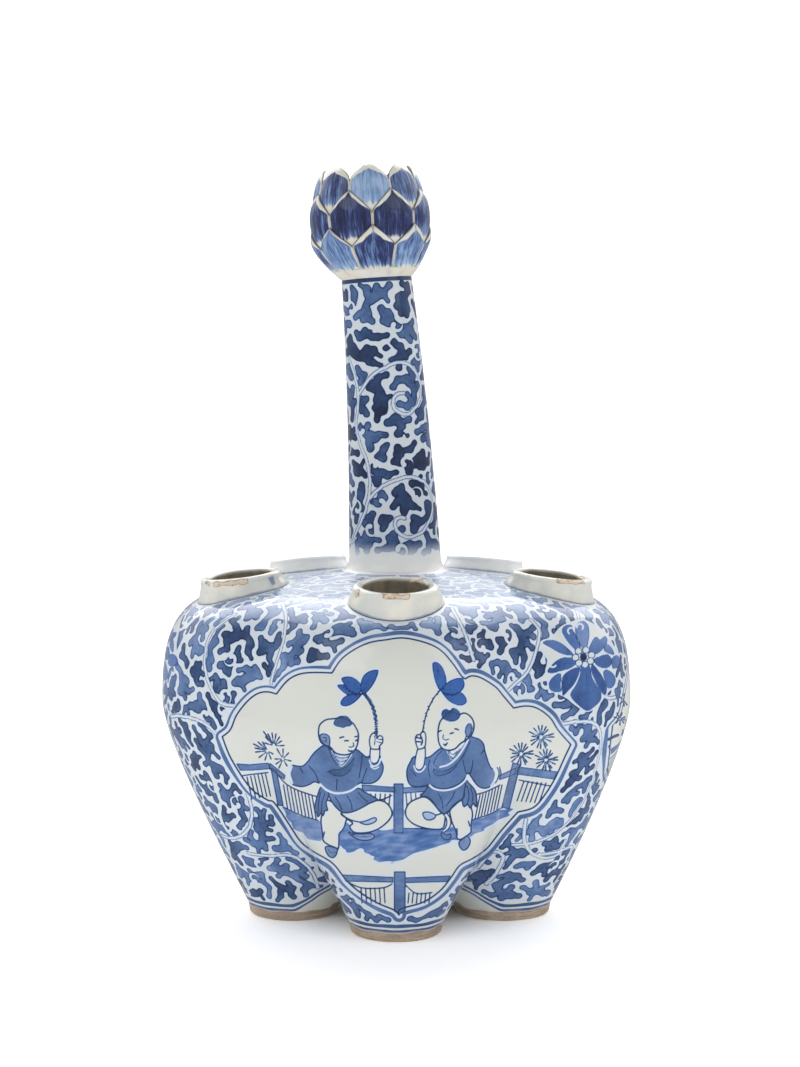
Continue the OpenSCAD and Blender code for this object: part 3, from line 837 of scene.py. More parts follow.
    def curl(self, k, j, heading, size):
        """A white comma: an arc of more than half a turn that tightens and swells to its end."""
        across, up = self.tangent(k, j)
        a = np.linspace(0, 4.6, 12)
        r = np.abs(size) * (3.1 - 0.5 * a)
        u, v = r * np.cos(a * np.sign(size) + heading), r * np.sin(a * np.sign(size) + heading)
        path = self.p[k, j] + u[:, None] * across + v[:, None] * up
        area = self.window(k, j, 6.0)
        swell = np.linspace(-0.25, 0.4, 12)
        d = rods(self.p[area], path[:-1], path[1:], swell[:-1], swell[1:])
        self.hook[area] = np.minimum(self.hook[area], d)

    def fields(self):
        """The finished fields, by the names that the material reads."""
        names = ("leaf", "tone", "line", "wash", "wash_tone", "vivid", "bare")
        return {name: getattr(self, name) for name in names}


def unpainted(fields):
    """Values of the same fields where nothing is painted."""
    plain = {name: np.float32(FAR if name in ("leaf", "line", "wash") else 0) for name in fields}
    return dict(plain, bare=np.float32(-FAR))


def rods(points, starts, ends, r0, r1, blend=0.0):
    """Least signed distance from points to rods that swell from one radius to another. With a blend it
    is the soft least: minus the logarithm of the summed falling exponentials, over the blend."""
    along = ends - starts
    off = points[..., None, :] - starts
    h = np.clip((off * along).sum(-1) / np.maximum((along**2).sum(-1), 1e-9), 0, 1)
    d = np.linalg.norm(off - h[..., None] * along, axis=-1) - (r0 + (r1 - r0) * h)
    return -np.log(np.exp(-blend * d).sum(-1) + 1e-30) / blend if blend else d.min(-1)


class Drawing:
    """Brush work on a canvas, set out on a flat sheet that is laid over it as the camera sees it. Only
    the part of the sheet inside a box is used."""

    def __init__(self, canvas, view, spin, box):
        x, y, seen = canvas.sheet(view, spin)
        seen &= (x > box[0]) & (y > box[1]) & (x < box[2]) & (y < box[3])
        self.canvas, self.at = canvas, np.flatnonzero(seen)
        self.q = np.stack([x.ravel()[self.at], y.ravel()[self.at]], -1)

    @staticmethod
    def path(points, curve, closed):
        """Points of a drawing as a run on the sheet."""
        p = np.asarray(points, float)
        return spline(p, closed) if curve else (np.concatenate([p, p[:1]]) if closed else p)

    def distance(self, path, reach):
        """Points of the skin near a path, and how far they are from it in millimetres."""
        low, high = path.min(0) - reach * POINTS, path.max(0) + reach * POINTS
        near = np.flatnonzero(np.all((self.q > low) & (self.q < high), axis=1))
        best = np.full(len(near), 1e9)
        q = self.q[near]
        for a, b in zip(path[:-1], path[1:]):
            along, off = b - a, q - a
            h = np.clip(off @ along / max(along @ along, 1e-9), 0, 1)
            best = np.minimum(best, ((off - h[:, None] * along) ** 2).sum(1))
        return near, np.sqrt(best) / POINTS

    def region(self, points, curve=True, reach=3.0):
        """Points near an outline and their signed distance from it, below zero inside: a point is inside
        when a level ray from it crosses the outline an odd number of times."""
        path = self.path(points, curve, True)
        near, d = self.distance(path, reach)
        x, y = self.q[near].T
        inside = np.zeros(len(near), bool)
        for (ax, ay), (bx, by) in zip(path[:-1], path[1:]):
            if ay != by:
                inside ^= ((ay > y) != (by > y)) & (x < ax + (bx - ax) * (y - ay) / (by - ay))
        return near, np.where(inside, -d, d)

    def stroke(self, points, width=0.5, curve=True, closed=False):
        """A brush line."""
        near, d = self.distance(self.path(points, curve, closed), 2.0)
        line, at = self.canvas.line.ravel(), self.at[near]
        line[at] = np.minimum(line[at], d - width / 2)

    def fill(self, points, tone, curve=True, vivid=0.0, streaks=0.0):
        """A wash inside an outline. Streaks fray its edge and vary its strength by crossed waves over
        the sheet."""
        near, d = self.region(points, curve)
        at, q = self.at[near], self.q[near]
        fine = np.sin(q @ (0.22, 1.3) + 2 * np.sin(q @ (0.15, 0.0)))
        wave = np.sin(q @ (0.1, 0.52)) * np.sin(q @ (0.21, -0.13)) + 0.35 * fine
        d = d + streaks * wave
        wash, shade, hue = (v.ravel() for v in (self.canvas.wash, self.canvas.wash_tone, self.canvas.vivid))
        mine = (d < 0.5) & ((d < 0) | (wash[at] > d))
        shade[at] = np.where(mine, tone + 0.14 * streaks * wave, shade[at])
        hue[at] = np.where(mine, vivid, hue[at])
        wash[at] = np.minimum(wash[at], d)

    def clear(self, near, d, *fields):
        """Raises fields of the canvas to a distance, which leaves white where it is above zero."""
        for name in fields:
            target = getattr(self.canvas, name).ravel()
            target[self.at[near]] = np.maximum(target[self.at[near]], d)

    def blank(self, points):
        """White left inside an outline."""
        near, d = self.region(points)
        self.clear(near, -d, "wash", "line", "leaf")

    def gap(self, points, width=0.6):
        """A white line left in a wash."""
        near, d = self.distance(self.path(points, True, False), 2.0)
        self.clear(near, width / 2 - d, "wash", "line")

    def shape(self, points, tone, width=0.45, vivid=0.0):
        """A wash with its outline."""
        self.fill(points, tone, vivid=vivid)
        self.stroke(points, width, closed=True)

    def limb(self, points, width=0.48):
        """White skin or cloth with an outline."""
        self.blank(points)
        self.stroke(points, width, closed=True)

    def strokes(self, width, *paths):
        """Several brush lines of one width."""
        for points in paths:
            self.stroke(points, width)


def draw_panel(d):
    """The lobed panel: its white ground, a dark line round it and a broad band outside."""
    canvas = d.canvas
    cusps = [
        [(332, 673), (341.6, 659), (355.9, 648.6), (370.3, 642.4), (384.6, 640), (404, 638), (426.6, 643),
            (441, 650.5), (452.4, 663), (461, 675.4), (465.3, 678.8)],
        [(465.3, 678.8), (471.6, 675.9), (481, 677.8), (495.5, 686.9), (503, 695.5), (513.5, 708)],
        [(513.5, 708), (526, 706), (537.5, 708.4), (550, 717.6), (558.2, 730.2), (570.8, 744.6)],
        [(570.8, 744.6), (565, 756.7), (555, 778.4), (544.6, 795.2), (533.4, 807.5), (517.8, 812)],
        [(517.8, 812), (501, 830.9), (486.5, 848.8), (472, 858.8), (459.7, 865.5), (450.8, 877.8),
            (439.6, 891.2), (422.9, 902.3), (400.6, 909), (399, 915)],
        [(399, 915), (394, 910), (378.3, 903.4), (361.6, 893.4), (347.1, 881.1), (332.6, 863.3),
            (312.5, 851), (300.2, 841), (289, 824.2), (274.5, 803), (266.7, 799.6), (250, 787.4),
            (231.4, 759.2), (222.2, 736.7)],
        [(222.2, 736.7), (230.4, 729.6), (236.5, 715.3), (246.7, 702), (257, 693.9), (267, 691.8),
            (276.4, 694)],
        [(276.4, 694), (287, 681), (298.5, 674.4), (312.8, 672.5), (332, 673)],
    ]
    outline = np.concatenate([spline(side)[:-1] for side in cusps])
    near, p = d.region(outline, curve=False, reach=8.0)
    at = d.at[near]
    names = ("line", "wash", "wash_tone", "panel")
    line, wash, tone, panel = (getattr(canvas, name).ravel() for name in names)
    panel[at] = np.minimum(panel[at], p)
    line[at] = np.minimum(line[at], np.abs(p) - 0.24)
    band = np.abs(p - 1.72) - 0.5 - 0.16 * np.sin(d.q[near] @ (0.05, 0.07))
    tone[at] = np.where(band < 0.4, 0.62, tone[at])
    wash[at] = np.minimum(wash[at], band)


def draw_fences(d):
    """Terrace washes, the fence behind the children and the lower fence."""
    d.fill([(284, 808), (300, 815.5), (318, 821), (323, 823), (322, 838), (316, 840), (308, 838.5),
        (303.5, 834), (294, 828), (287, 817)], 0.5, vivid=0.3, streaks=0.3)
    d.fill([(338, 822), (372, 829), (404, 828.5), (443, 829), (473, 819.5), (485, 816), (497, 811),
        (510, 808), (513, 810), (505, 817.5), (495, 823), (484, 830), (473, 835), (456, 841), (446, 843.5),
        (437, 846.5), (428, 848.5), (418, 853), (410, 855.5), (401.7, 860), (388.4, 861.8), (377.2, 860),
        (368.3, 854.5), (361, 848), (355, 851.5), (349, 852.5), (343, 848.5), (339, 841)], 0.54, vivid=0.5,
        streaks=0.5)
    for rail in (
        [(237, 764), (250, 764.8), (268, 763.2), (270, 768.6), (252, 770), (240.5, 770)],
        [(270, 763.5), (277, 769), (285, 775.5), (284, 779), (276, 773), (270, 769)],
        [(362, 785), (395, 787.5), (395, 792), (363, 790.5)],
        [(403, 788), (431, 786.5), (431, 791), (403, 793)],
        [(516, 768), (500, 775.5), (500, 779.5), (515, 774)],
        [(518, 767), (557, 772), (554, 779), (517, 774)],
        [(342.6, 875), (393, 877.5), (393, 882), (346, 881)],
        [(405, 878), (450, 876), (447, 881.5), (405, 882.5)],
    ):
        d.fill(rail, 0.58, curve=False, streaks=0.15)
        d.stroke(rail, 0.36, curve=False, closed=True)
    for post in (
        [(271, 768), (276.5, 771), (283, 805.5), (278, 805)],
        [(394, 784), (403, 784), (403, 833), (394, 833)],
        [(513, 763), (520, 765), (509, 809), (502, 807)],
        [(394.5, 872), (405, 872), (405, 911), (399, 914), (394.5, 911)],
    ):
        d.fill(post, 0.6, curve=False, streaks=0.15)
        d.stroke(post, 0.4, curve=False, closed=True)
    for start, end, lean, count in (
        ((283.5, 785), (312, 795.5), (4.2, 24), 9), ((247, 777), (265.5, 774), (5, 22), 6),
            ((366, 794), (390, 794), (-1, 12), 6),
        ((406, 794), (430, 794), (1, 12), 6), ((480, 795), (502, 785), (-5, 24), 8),
            ((524, 781), (546, 783), (-7, 20), 6),
        ((361, 888), (384, 888), (1, 15), 6), ((409, 893), (430, 893), (-1, 10), 6),
    ):
        for x, y in np.linspace(start, end, count):
            d.stroke([(x, y), (x + lean[0], y + lean[1])], 0.4, curve=False)
    d.strokes(0.4, [(346, 881), (361.6, 887.8), (382.8, 887.8), (392, 884)],
        [(405, 884.5), (416.2, 893.4), (432, 892.5)], [(277.5, 774), (285, 783), (296, 789.5), (310, 794.5),
        (318, 797)], [(283, 807), (300, 815), (318, 820.5)], [(243, 775.5), (255, 774), (268, 772.5)],
        [(473, 795), (485, 792), (500, 785)], [(473, 820), (490, 814), (503, 807)],
        [(519, 780), (550, 786)], [(404, 828.5), (424, 829), (441, 829.5)])


def draw_pine(d, x, y, *tips):
    """A pine tuft: short strokes out from near a middle, thicker at their tips."""
    for dx, dy in tips:
        d.stroke([(x + 0.2 * dx, y + 0.2 * dy), (x + 0.8 * dx, y + 0.8 * dy)], 0.3, curve=False)
        d.stroke([(x + 0.65 * dx, y + 0.65 * dy), (x + dx, y + dy)], 0.46, curve=False)


def draw_pines(d):
    """Pine tufts over the fence: loose ones at the left and round ones at the right."""
    draw_pine(d, 274, 746, (-10.5, -14.5), (-8.5, -9), (-6, -12), (-2, -13), (2, -12), (5.5, -9), (7.5, -5),
        (10, -0.5), (-9, -3))
    draw_pine(d, 268, 751, (-14.5, -7), (-13, -3), (-12.5, 1), (-10, -9), (-5.5, -9), (-9, 6.5), (-3, 9),
        (3, 8), (5, 3))
    draw_pine(d, 283, 759, (-6, -10), (0, -10), (5.5, -6), (8, 2), (4, 7), (-4, 9), (-8, 0), (-7, 5))
    for x, y, r in ((541, 737, 13), (521, 754, 12.5), (546, 760, 12)):
        rays = [(0.4 * k, (1 - 0.15 * (k % 3)) * r) for k in range(16)]
        draw_pine(d, x, y, *((out * math.cos(a), 0.9 * r * math.sin(a)) for a, out in rays))


def draw_left_boy(d):
    """A child in a short jacket, one leg bent, holding up a lotus by its stem."""
    d.limb([(327.5, 800), (325.5, 807), (322.5, 813), (321, 820), (321.5, 827), (322.5, 834),
        (323.2, 840.5), (328, 844.5), (334, 847), (338.2, 848.5), (339, 841), (339.2, 834), (342.5, 830),
        (345, 824.5), (345.8, 812)])
    d.limb([(341, 813.5), (349, 811), (358, 808), (366, 804.5), (373, 801.3), (380, 800.5), (386, 802.8),
        (390.5, 808), (392, 814), (389.5, 819.5), (384, 825), (377.5, 829.3), (370, 832), (362, 833),
        (355, 832.5), (351, 829.5), (350, 826), (352.5, 823), (346, 818)])
    d.fill([(360, 822.5), (367, 820.5), (373, 818), (376, 818.5), (375.5, 821), (371.5, 823.5),
        (366, 824.5)], 0.3)
    d.strokes(0.42, [(341, 813.5), (346, 817.5), (352, 820.3), (360, 822), (367, 820.5), (373, 818),
        (376, 818.2), (375.8, 821), (371.5, 823.5), (366, 824.5), (360.5, 823)], [(324.5, 832), (323, 838)],
        [(376, 800.3), (384, 799), (391.5, 795.5)])
    d.shape([(325.5, 847), (326.5, 852.5), (329.5, 856.5), (333, 857.5), (336, 855), (337.3, 850.5),
        (337.5, 848.6), (331, 846.8)], 0.5)
    d.shape([(348.5, 832), (352, 836), (358.5, 839.5), (366, 840.5), (372, 839), (374.5, 836), (371, 833.8),
        (363, 834), (354.5, 833.8)], 0.44)
    d.strokes(0.32, [(352, 834.5), (360, 836.8), (371, 836)], [(328, 849), (331, 852.5), (336, 852.5)])
    tail = [(321.5, 787), (317.5, 796), (315.5, 804), (315, 811), (317, 813), (318, 816.5), (321, 813),
        (323, 815.5), (325, 810.5), (327.5, 810), (326, 803), (328, 797), (329, 792.5)]
    skirt = [(328.5, 793), (331, 800), (335.5, 806.5), (341, 811.5), (346, 812.7), (353, 811.5), (361, 808),
        (369, 803.5), (377, 800), (374.5, 797.5), (370, 795), (364, 792), (359, 788.5), (351, 791.5),
        (343, 794), (335, 794)]
    jacket = [(326, 746), (318, 749.5), (312.5, 755), (308, 761.5), (303, 766), (297.5, 766.3),
        (291.5, 765.8), (290, 774), (291.5, 783), (297, 785.8), (303, 786.3), (309, 784.5), (314, 781.8),
        (318, 782.6), (320.5, 784), (324, 788.5), (329, 792), (336, 793.8), (344, 793.5), (351, 791),
        (357, 787), (359, 783), (364, 783.2), (372, 783), (378, 779.5), (382, 773), (383, 766.5),
        (381, 761), (379, 755), (371, 756), (366, 757), (361, 753), (355, 750), (341, 757)]
    for part, tone in ((tail, 0.66), (skirt, 0.6), (jacket, 0.6)):
        d.blank(part)
        d.shape(part, tone, 0.5)
    d.strokes(0.46, [(320.5, 792), (318.5, 803), (318, 812)], [(325, 793), (322, 803), (321.5, 812)],
        [(347, 796), (351, 803), (352, 810)], [(335, 797), (339, 803), (342, 810)],
        [(358, 792), (363, 798), (368, 802)], [(309, 766), (315, 773), (319, 783)],
        [(300, 768), (303, 773)], [(362, 756), (361, 766), (359, 778)], [(337, 779), (336.5, 790)],
        [(367, 768), (364, 776), (362, 782)])
    d.fill([(328, 771.5), (334, 769.5), (342, 768.8), (349, 764.5), (354, 757.5), (353, 767), (345, 775),
        (336, 776)], 0.72)
    d.strokes(0.4, [(327, 772.5), (333, 769.8), (341, 769), (349, 764.5), (354, 757.5)],
        [(329, 772.5), (336, 776), (344, 775.3), (351, 770)], [(328.5, 748), (332, 757.5), (337.5, 765.5)])
    d.gap([(320.3, 784.3), (326, 789.6), (334, 793), (343, 793), (351, 790.6), (358, 786)], 0.7)
    d.blank([(331.5, 749), (335, 758), (341, 766.8), (347.5, 761), (352.3, 753), (342, 752)])
    d.fill([(333.5, 753), (336.5, 759.5), (341, 764.5), (346.5, 760), (350, 754.5), (342, 757)], 0.24)
    d.strokes(0.28, [(335.5, 756), (340, 758), (346.5, 757.5), (350, 755.5)],
        [(337.5, 760), (341, 761.6), (346, 760.4)], [(332.8, 751), (336, 758.5), (341, 765.3),
        (346.8, 760.2), (351.3, 753.4)])
    d.gap([(291.5, 766.5), (289.5, 774), (292, 783)], 0.75)
    d.limb([(371.2, 748), (370, 755), (370.5, 761), (373.5, 763.5), (377, 762.5), (379.3, 758),
        (379.8, 752), (379, 746)], 0.42)
    d.gap([(369.3, 760), (371.5, 765.3), (375, 766.2), (379, 763.5), (380.7, 758.5)], 0.5)
    d.gap([(370.5, 766.5), (374.5, 769), (379, 766.8)], 0.4)
    d.limb([(371.2, 748.5), (369.5, 741.5), (370.5, 736), (373.2, 733), (375.8, 734), (377.2, 738),
        (378.5, 736), (381.5, 736), (383, 739), (382.3, 743), (379.6, 746), (379, 749)], 0.42)
    d.strokes(0.32, [(377.5, 738.7), (381.4, 739.6)], [(376.8, 741.8), (381, 742.7)],
        [(374.4, 745), (375.2, 739), (374, 735.6)])
    d.limb([(318.5, 733), (319.3, 726), (322.5, 722), (327, 719.5), (333, 718.8), (343, 718.3),
        (352, 722.5), (355.5, 727), (358.2, 733), (358.2, 740), (356.5, 747), (352.5, 752.5), (346, 754.8),
        (339, 754.2), (334.5, 752), (330, 747), (322.5, 743.8), (319.5, 739)])
    d.shape([(320.5, 735), (325, 734), (329, 736.5), (329.8, 742), (328.5, 747), (324, 744), (321, 740)],
        0.46, 0.4)
    d.strokes(0.36, [(322.5, 737.3), (326, 738), (325.8, 741.8), (323.5, 740.5)])
    d.shape([(334, 723.5), (336, 719.5), (339, 717), (343, 716.3), (347, 716.8), (350, 720), (351.5, 723.5),
        (349.5, 725.6), (346, 726), (343, 727.4), (339.5, 726.3), (336.5, 725.8)], 0.74, 0.4)
    d.strokes(0.5, [(339.8, 738), (341.6, 737.2), (343.8, 736.9)],
        [(344.6, 740.9), (346.6, 740.6), (348.4, 740.8)], [(355, 736.7), (357, 736.5)],
        [(355.6, 740.7), (357.6, 739.8)], [(348.4, 750.4), (350.5, 751.3), (352, 750.6)])
    d.strokes(0.36, [(353, 742.5), (353.8, 745.6), (351, 747.2), (348.8, 746.6)])


def draw_right_boy(d):
    """A second child turned the other way, with a lotus over the head."""
    d.limb([(424, 797), (416.5, 799), (409.5, 803), (405.7, 810), (406.5, 817), (411.5, 822.5), (418, 826),
        (426, 828.3), (434, 829.3), (441, 829), (444, 826), (445, 814), (440, 811.5), (435.5, 806),
        (430, 800)])
    d.limb([(450, 810.5), (450.5, 816), (452, 822), (454.5, 828), (456.5, 833), (457, 838), (460, 839.5),
        (464.5, 837.5), (468.5, 834.5), (471, 832), (471, 828), (471.5, 822), (472.5, 815), (471.5, 809),
        (468.5, 804.5), (465, 799.5), (460, 801), (455, 805)])
    d.fill([(423, 813), (428, 812), (433, 813.5), (436, 815), (434, 818.5), (428.5, 820), (424.5, 818)],
        0.26)
    d.strokes(0.42, [(449, 812), (442, 813.3), (436, 815), (433, 813.5), (428, 812), (423, 813),
        (424.5, 818), (428.5, 820), (434, 818.5), (436, 815)], [(457, 828.5), (457.2, 835)],
        [(468.4, 821), (469.6, 826)])
    d.blank([(443, 814), (446.8, 813.5), (450, 818), (450.8, 823.5), (448.5, 829), (444, 831.5), (443, 829),
        (446.5, 823), (445.5, 818)])
    d.strokes(0.4, [(443, 814), (446, 818), (446.8, 823), (445.5, 827.5), (443, 830)],
        [(447, 813.5), (450, 818), (450.8, 823.5), (448.6, 828.8), (444.6, 832)])
    d.shape([(441.5, 832.5), (442, 837.5), (446, 839.8), (450, 838.5), (451, 834), (446.5, 835)], 0.6)
    d.shape([(459, 842.5), (460, 847), (463, 850), (467, 848.5), (470, 843), (469.5, 838.5), (466, 836.5),
        (462, 839.5)], 0.5)
    tail = [(465.5, 779), (468, 782.5), (472, 786.5), (475.5, 792), (476.5, 800), (476, 806.5), (473, 803),
        (470.5, 808), (467.5, 804.5), (464, 806.5), (462.5, 801), (464.5, 795), (464, 788)]
    skirt = [(430, 786.5), (424.5, 792), (421, 796), (426, 796.5), (431, 799.5), (435, 804.5), (439, 810),
        (444, 813.5), (448.5, 811), (453, 805.5), (458, 801.5), (462.5, 798.5), (464, 793), (465, 783),
        (457, 788), (444, 790.5)]
    jacket = [(442, 748.5), (436, 752), (430.5, 756.5), (424.5, 758), (414, 757), (410.5, 762),
        (407.5, 768.5), (407, 776), (409, 783), (413, 786), (420, 786.5), (426, 785.5), (430.5, 784.5),
        (436, 787.5), (443, 788.8), (450, 787.8), (457, 785), (462.5, 781), (466, 776.5), (468.5, 773),
        (471.5, 777), (475.5, 783), (480, 787), (486, 788), (491.5, 785.5), (494, 781), (494.5, 775),
        (494, 770), (491, 768), (488.5, 763), (486.5, 757), (484.5, 750), (483.5, 744.5), (480, 740),
        (475, 738), (469, 737.5), (458, 748)]
    for part, tone in ((tail, 0.6), (skirt, 0.62), (jacket, 0.6)):
        d.blank(part)
        d.shape(part, tone, 0.5)
    d.strokes(0.46, [(467, 786), (469, 795), (467.5, 803)], [(470.5, 788), (473, 796), (472, 802)],
        [(438, 793), (442, 801), (443, 809)], [(455, 791), (452, 798), (446, 806)],
        [(470, 774), (472, 768), (473, 760)], [(484, 750), (481, 754)],
        [(430, 760), (428, 768), (430, 777)], [(463, 760), (465, 770), (467, 774)],
        [(411, 770), (416, 776)])
    d.fill([(470.5, 741), (467, 748), (462, 757), (455, 765.5), (446, 770.5), (436, 771), (435, 775),
        (443, 775.3), (452, 770.5), (460, 762), (467, 752)], 0.7)
    d.strokes(0.4, [(470.5, 741), (467, 748), (462, 757), (455, 765.5), (446, 770.5), (438, 771),
        (433.5, 769), (435, 775), (441, 775.6), (449, 772.8), (457, 766)],
        [(442, 750.5), (436.5, 757), (434, 764), (438, 767)])
    d.blank([(446.5, 750), (449, 756), (451.3, 760), (455.5, 756.5), (460, 750), (465, 742), (461, 741),
        (452, 749)])
    d.gap([(468, 740), (464, 747.5), (459.5, 754.5), (454, 760.5), (447.5, 765), (440, 767)], 0.6)
    d.strokes(0.28, [(449.5, 752), (453, 754.6), (457, 751.5)], [(449.5, 756), (452.5, 757.5)],
        [(448, 752), (451.3, 759), (455, 756.2), (460, 749)])
    d.gap([(429.5, 785.2), (434, 788.6), (441, 790.3), (448, 790), (455, 788), (461, 784.5), (465.5, 780),
        (467.6, 775)], 0.65)
    d.gap([(494, 769), (495.6, 774), (494, 781), (491, 786)], 0.55)
    d.strokes(0.36, [(497, 767.5), (499, 772), (498, 778), (495.5, 783)],
        [(499.5, 767), (501, 773), (499.5, 779)])
    d.limb([(418.5, 748), (416, 755.5), (415, 762), (415.3, 767.5), (419.5, 770), (423.5, 766.5),
        (425, 759), (425.3, 753), (424.5, 746)], 0.42)
    d.gap([(413.8, 766), (416, 770.8), (419.6, 772), (423, 770), (425.3, 766)], 0.5)
    d.limb([(418.6, 749), (416, 743.5), (415.3, 738.5), (417, 735), (420, 734.5), (422, 732), (424, 731.5),
        (425.6, 735), (425.8, 740), (424.6, 747)], 0.42)
    d.strokes(0.46, [(420.5, 735), (422.5, 741), (421, 745)], [(417, 737.5), (420.5, 738.5)],
        [(417, 741.5), (420.5, 742)])
    d.limb([(443, 718), (440, 722), (438.3, 729), (438, 736), (439, 743), (441.5, 747.5), (446, 750),
        (451.5, 750), (456, 748), (460.5, 743.5), (466, 740), (471, 735.5), (473.5, 730), (474, 724),
        (472, 718.5), (468, 714.5), (463.5, 713), (459, 714.5), (450, 712)])
    d.shape([(466, 728), (468, 724.5), (470.5, 724), (471.6, 728), (470.5, 733.5), (467.5, 736.8),
        (465.5, 733)], 0.55, 0.4)
    d.shape([(442, 715), (443, 711), (446.5, 709.5), (450, 711), (453, 708.5), (457, 710), (459.5, 713),
        (459, 717), (456, 720), (451, 721), (446.5, 720), (443.5, 718)], 0.76, 0.4, vivid=0.4)
    d.strokes(0.5, [(438.8, 731.4), (441.3, 730.6)], [(450.2, 733.6), (453.3, 732.7)],
        [(454.8, 729), (456.6, 729), (458.4, 730)], [(443.8, 744.2), (445.4, 745.4), (447.2, 743)])
    d.strokes(0.36, [(443.6, 734.4), (443, 738.4), (445.6, 740), (448.8, 739)], [(466, 737), (464, 742)])


def draw_lotus(d, stem, petals, knots):
    """A lotus flower of bright petals with dark edges and veins, on a stem with close bristles or knots."""
    run = spline(stem)
    d.stroke(stem, 0.42)
    for (x, y), hand in zip(run[1:-1:knots], np.tile([-1.0, 1.0], len(run))):
        for side in (hand, -hand) if knots == 1 else (hand,):
            d.stroke([(x, y), (x + 1.7 * side, y - 0.3 * side)], 0.3, curve=False)
    for petal in petals:
        d.shape(petal, 0.66, 0.4, vivid=1.0)
        base, tip = np.asarray(petal[0]), np.asarray(petal[len(petal) // 2])
        for side in np.asarray([petal[2], petal[-2]], float):
            vein = [base, 0.5 * base + 0.25 * tip + 0.25 * side, 0.2 * base + 0.7 * tip + 0.1 * side]
            d.stroke(vein, 0.26)


def paint_panels(canvas, view):
    """Three panels, each with two children among fences and pines."""
    for spin in SPINS:
        d = Drawing(canvas, view, spin, (205, 625, 590, 925))
        draw_panel(d)
        draw_pines(d)
        draw_fences(d)
        draw_left_boy(d)
        draw_right_boy(d)
        draw_lotus(d, [(376.5, 735), (376, 722), (374.5, 713), (371.5, 704), (367, 697), (362.5, 692.5)], (
            [(361, 690), (359.5, 683.5), (355, 679.2), (349, 677), (342, 678.6), (344.5, 684), (347, 690),
                (352, 693), (357, 693.5)],
            [(358, 693.5), (351, 692), (346, 686), (338, 685.5), (341.5, 690), (346, 693.5), (352, 695)],
            [(361, 694), (354, 694.2), (347, 696), (342.5, 699.5), (341, 704), (345, 705.7), (351, 704),
                (357, 699.5)],
            [(362, 692), (361, 685), (363.5, 677), (369, 672), (377, 670.3), (377.6, 673), (374.5, 681),
                (370, 688), (365.5, 692.5)]), 1)
        draw_lotus(d, [(440, 690.5), (434.5, 697), (430, 705), (427, 712), (425, 719), (422.5, 732)], (
            [(440.5, 690), (436.5, 683.5), (434, 674), (433, 664), (437, 662.8), (442, 667.5), (445.2, 676),
                (445.6, 684)],
            [(442, 691.5), (448, 695.5), (454, 694.5), (460.5, 692.8), (465, 697), (466, 702), (461, 705),
                (453.5, 703.2), (447, 698.5)],
            [(441, 690), (446.5, 684), (453, 680), (461, 678.6), (464, 684), (461.5, 690), (455, 693.6),
                (447, 694)]), 3)
    d = Drawing(canvas, view, 0.0, (600, 680, 634, 780))
    draw_pine(d, 620, 719, (-6, -2), (-4, 4), (0, 6), (4, 4), (5, -2), (2, -6), (-3, -6), (6, 1))
    draw_pine(d, 624, 700, (-4, 4), (-4, -3), (0, -6), (3, 5), (0, 6))
    d.strokes(0.9, [(608.5, 739.5), (613, 737), (618, 735)])
    d.strokes(0.5, [(609, 746), (610, 750)], [(623, 730), (622, 735)], [(607, 769), (608, 772)])


def oval(x, y, across, down, angles):
    """Places on the sheet round an oval, at given angles."""
    return [(x + across * math.cos(a), y + down * math.sin(a)) for a in angles]


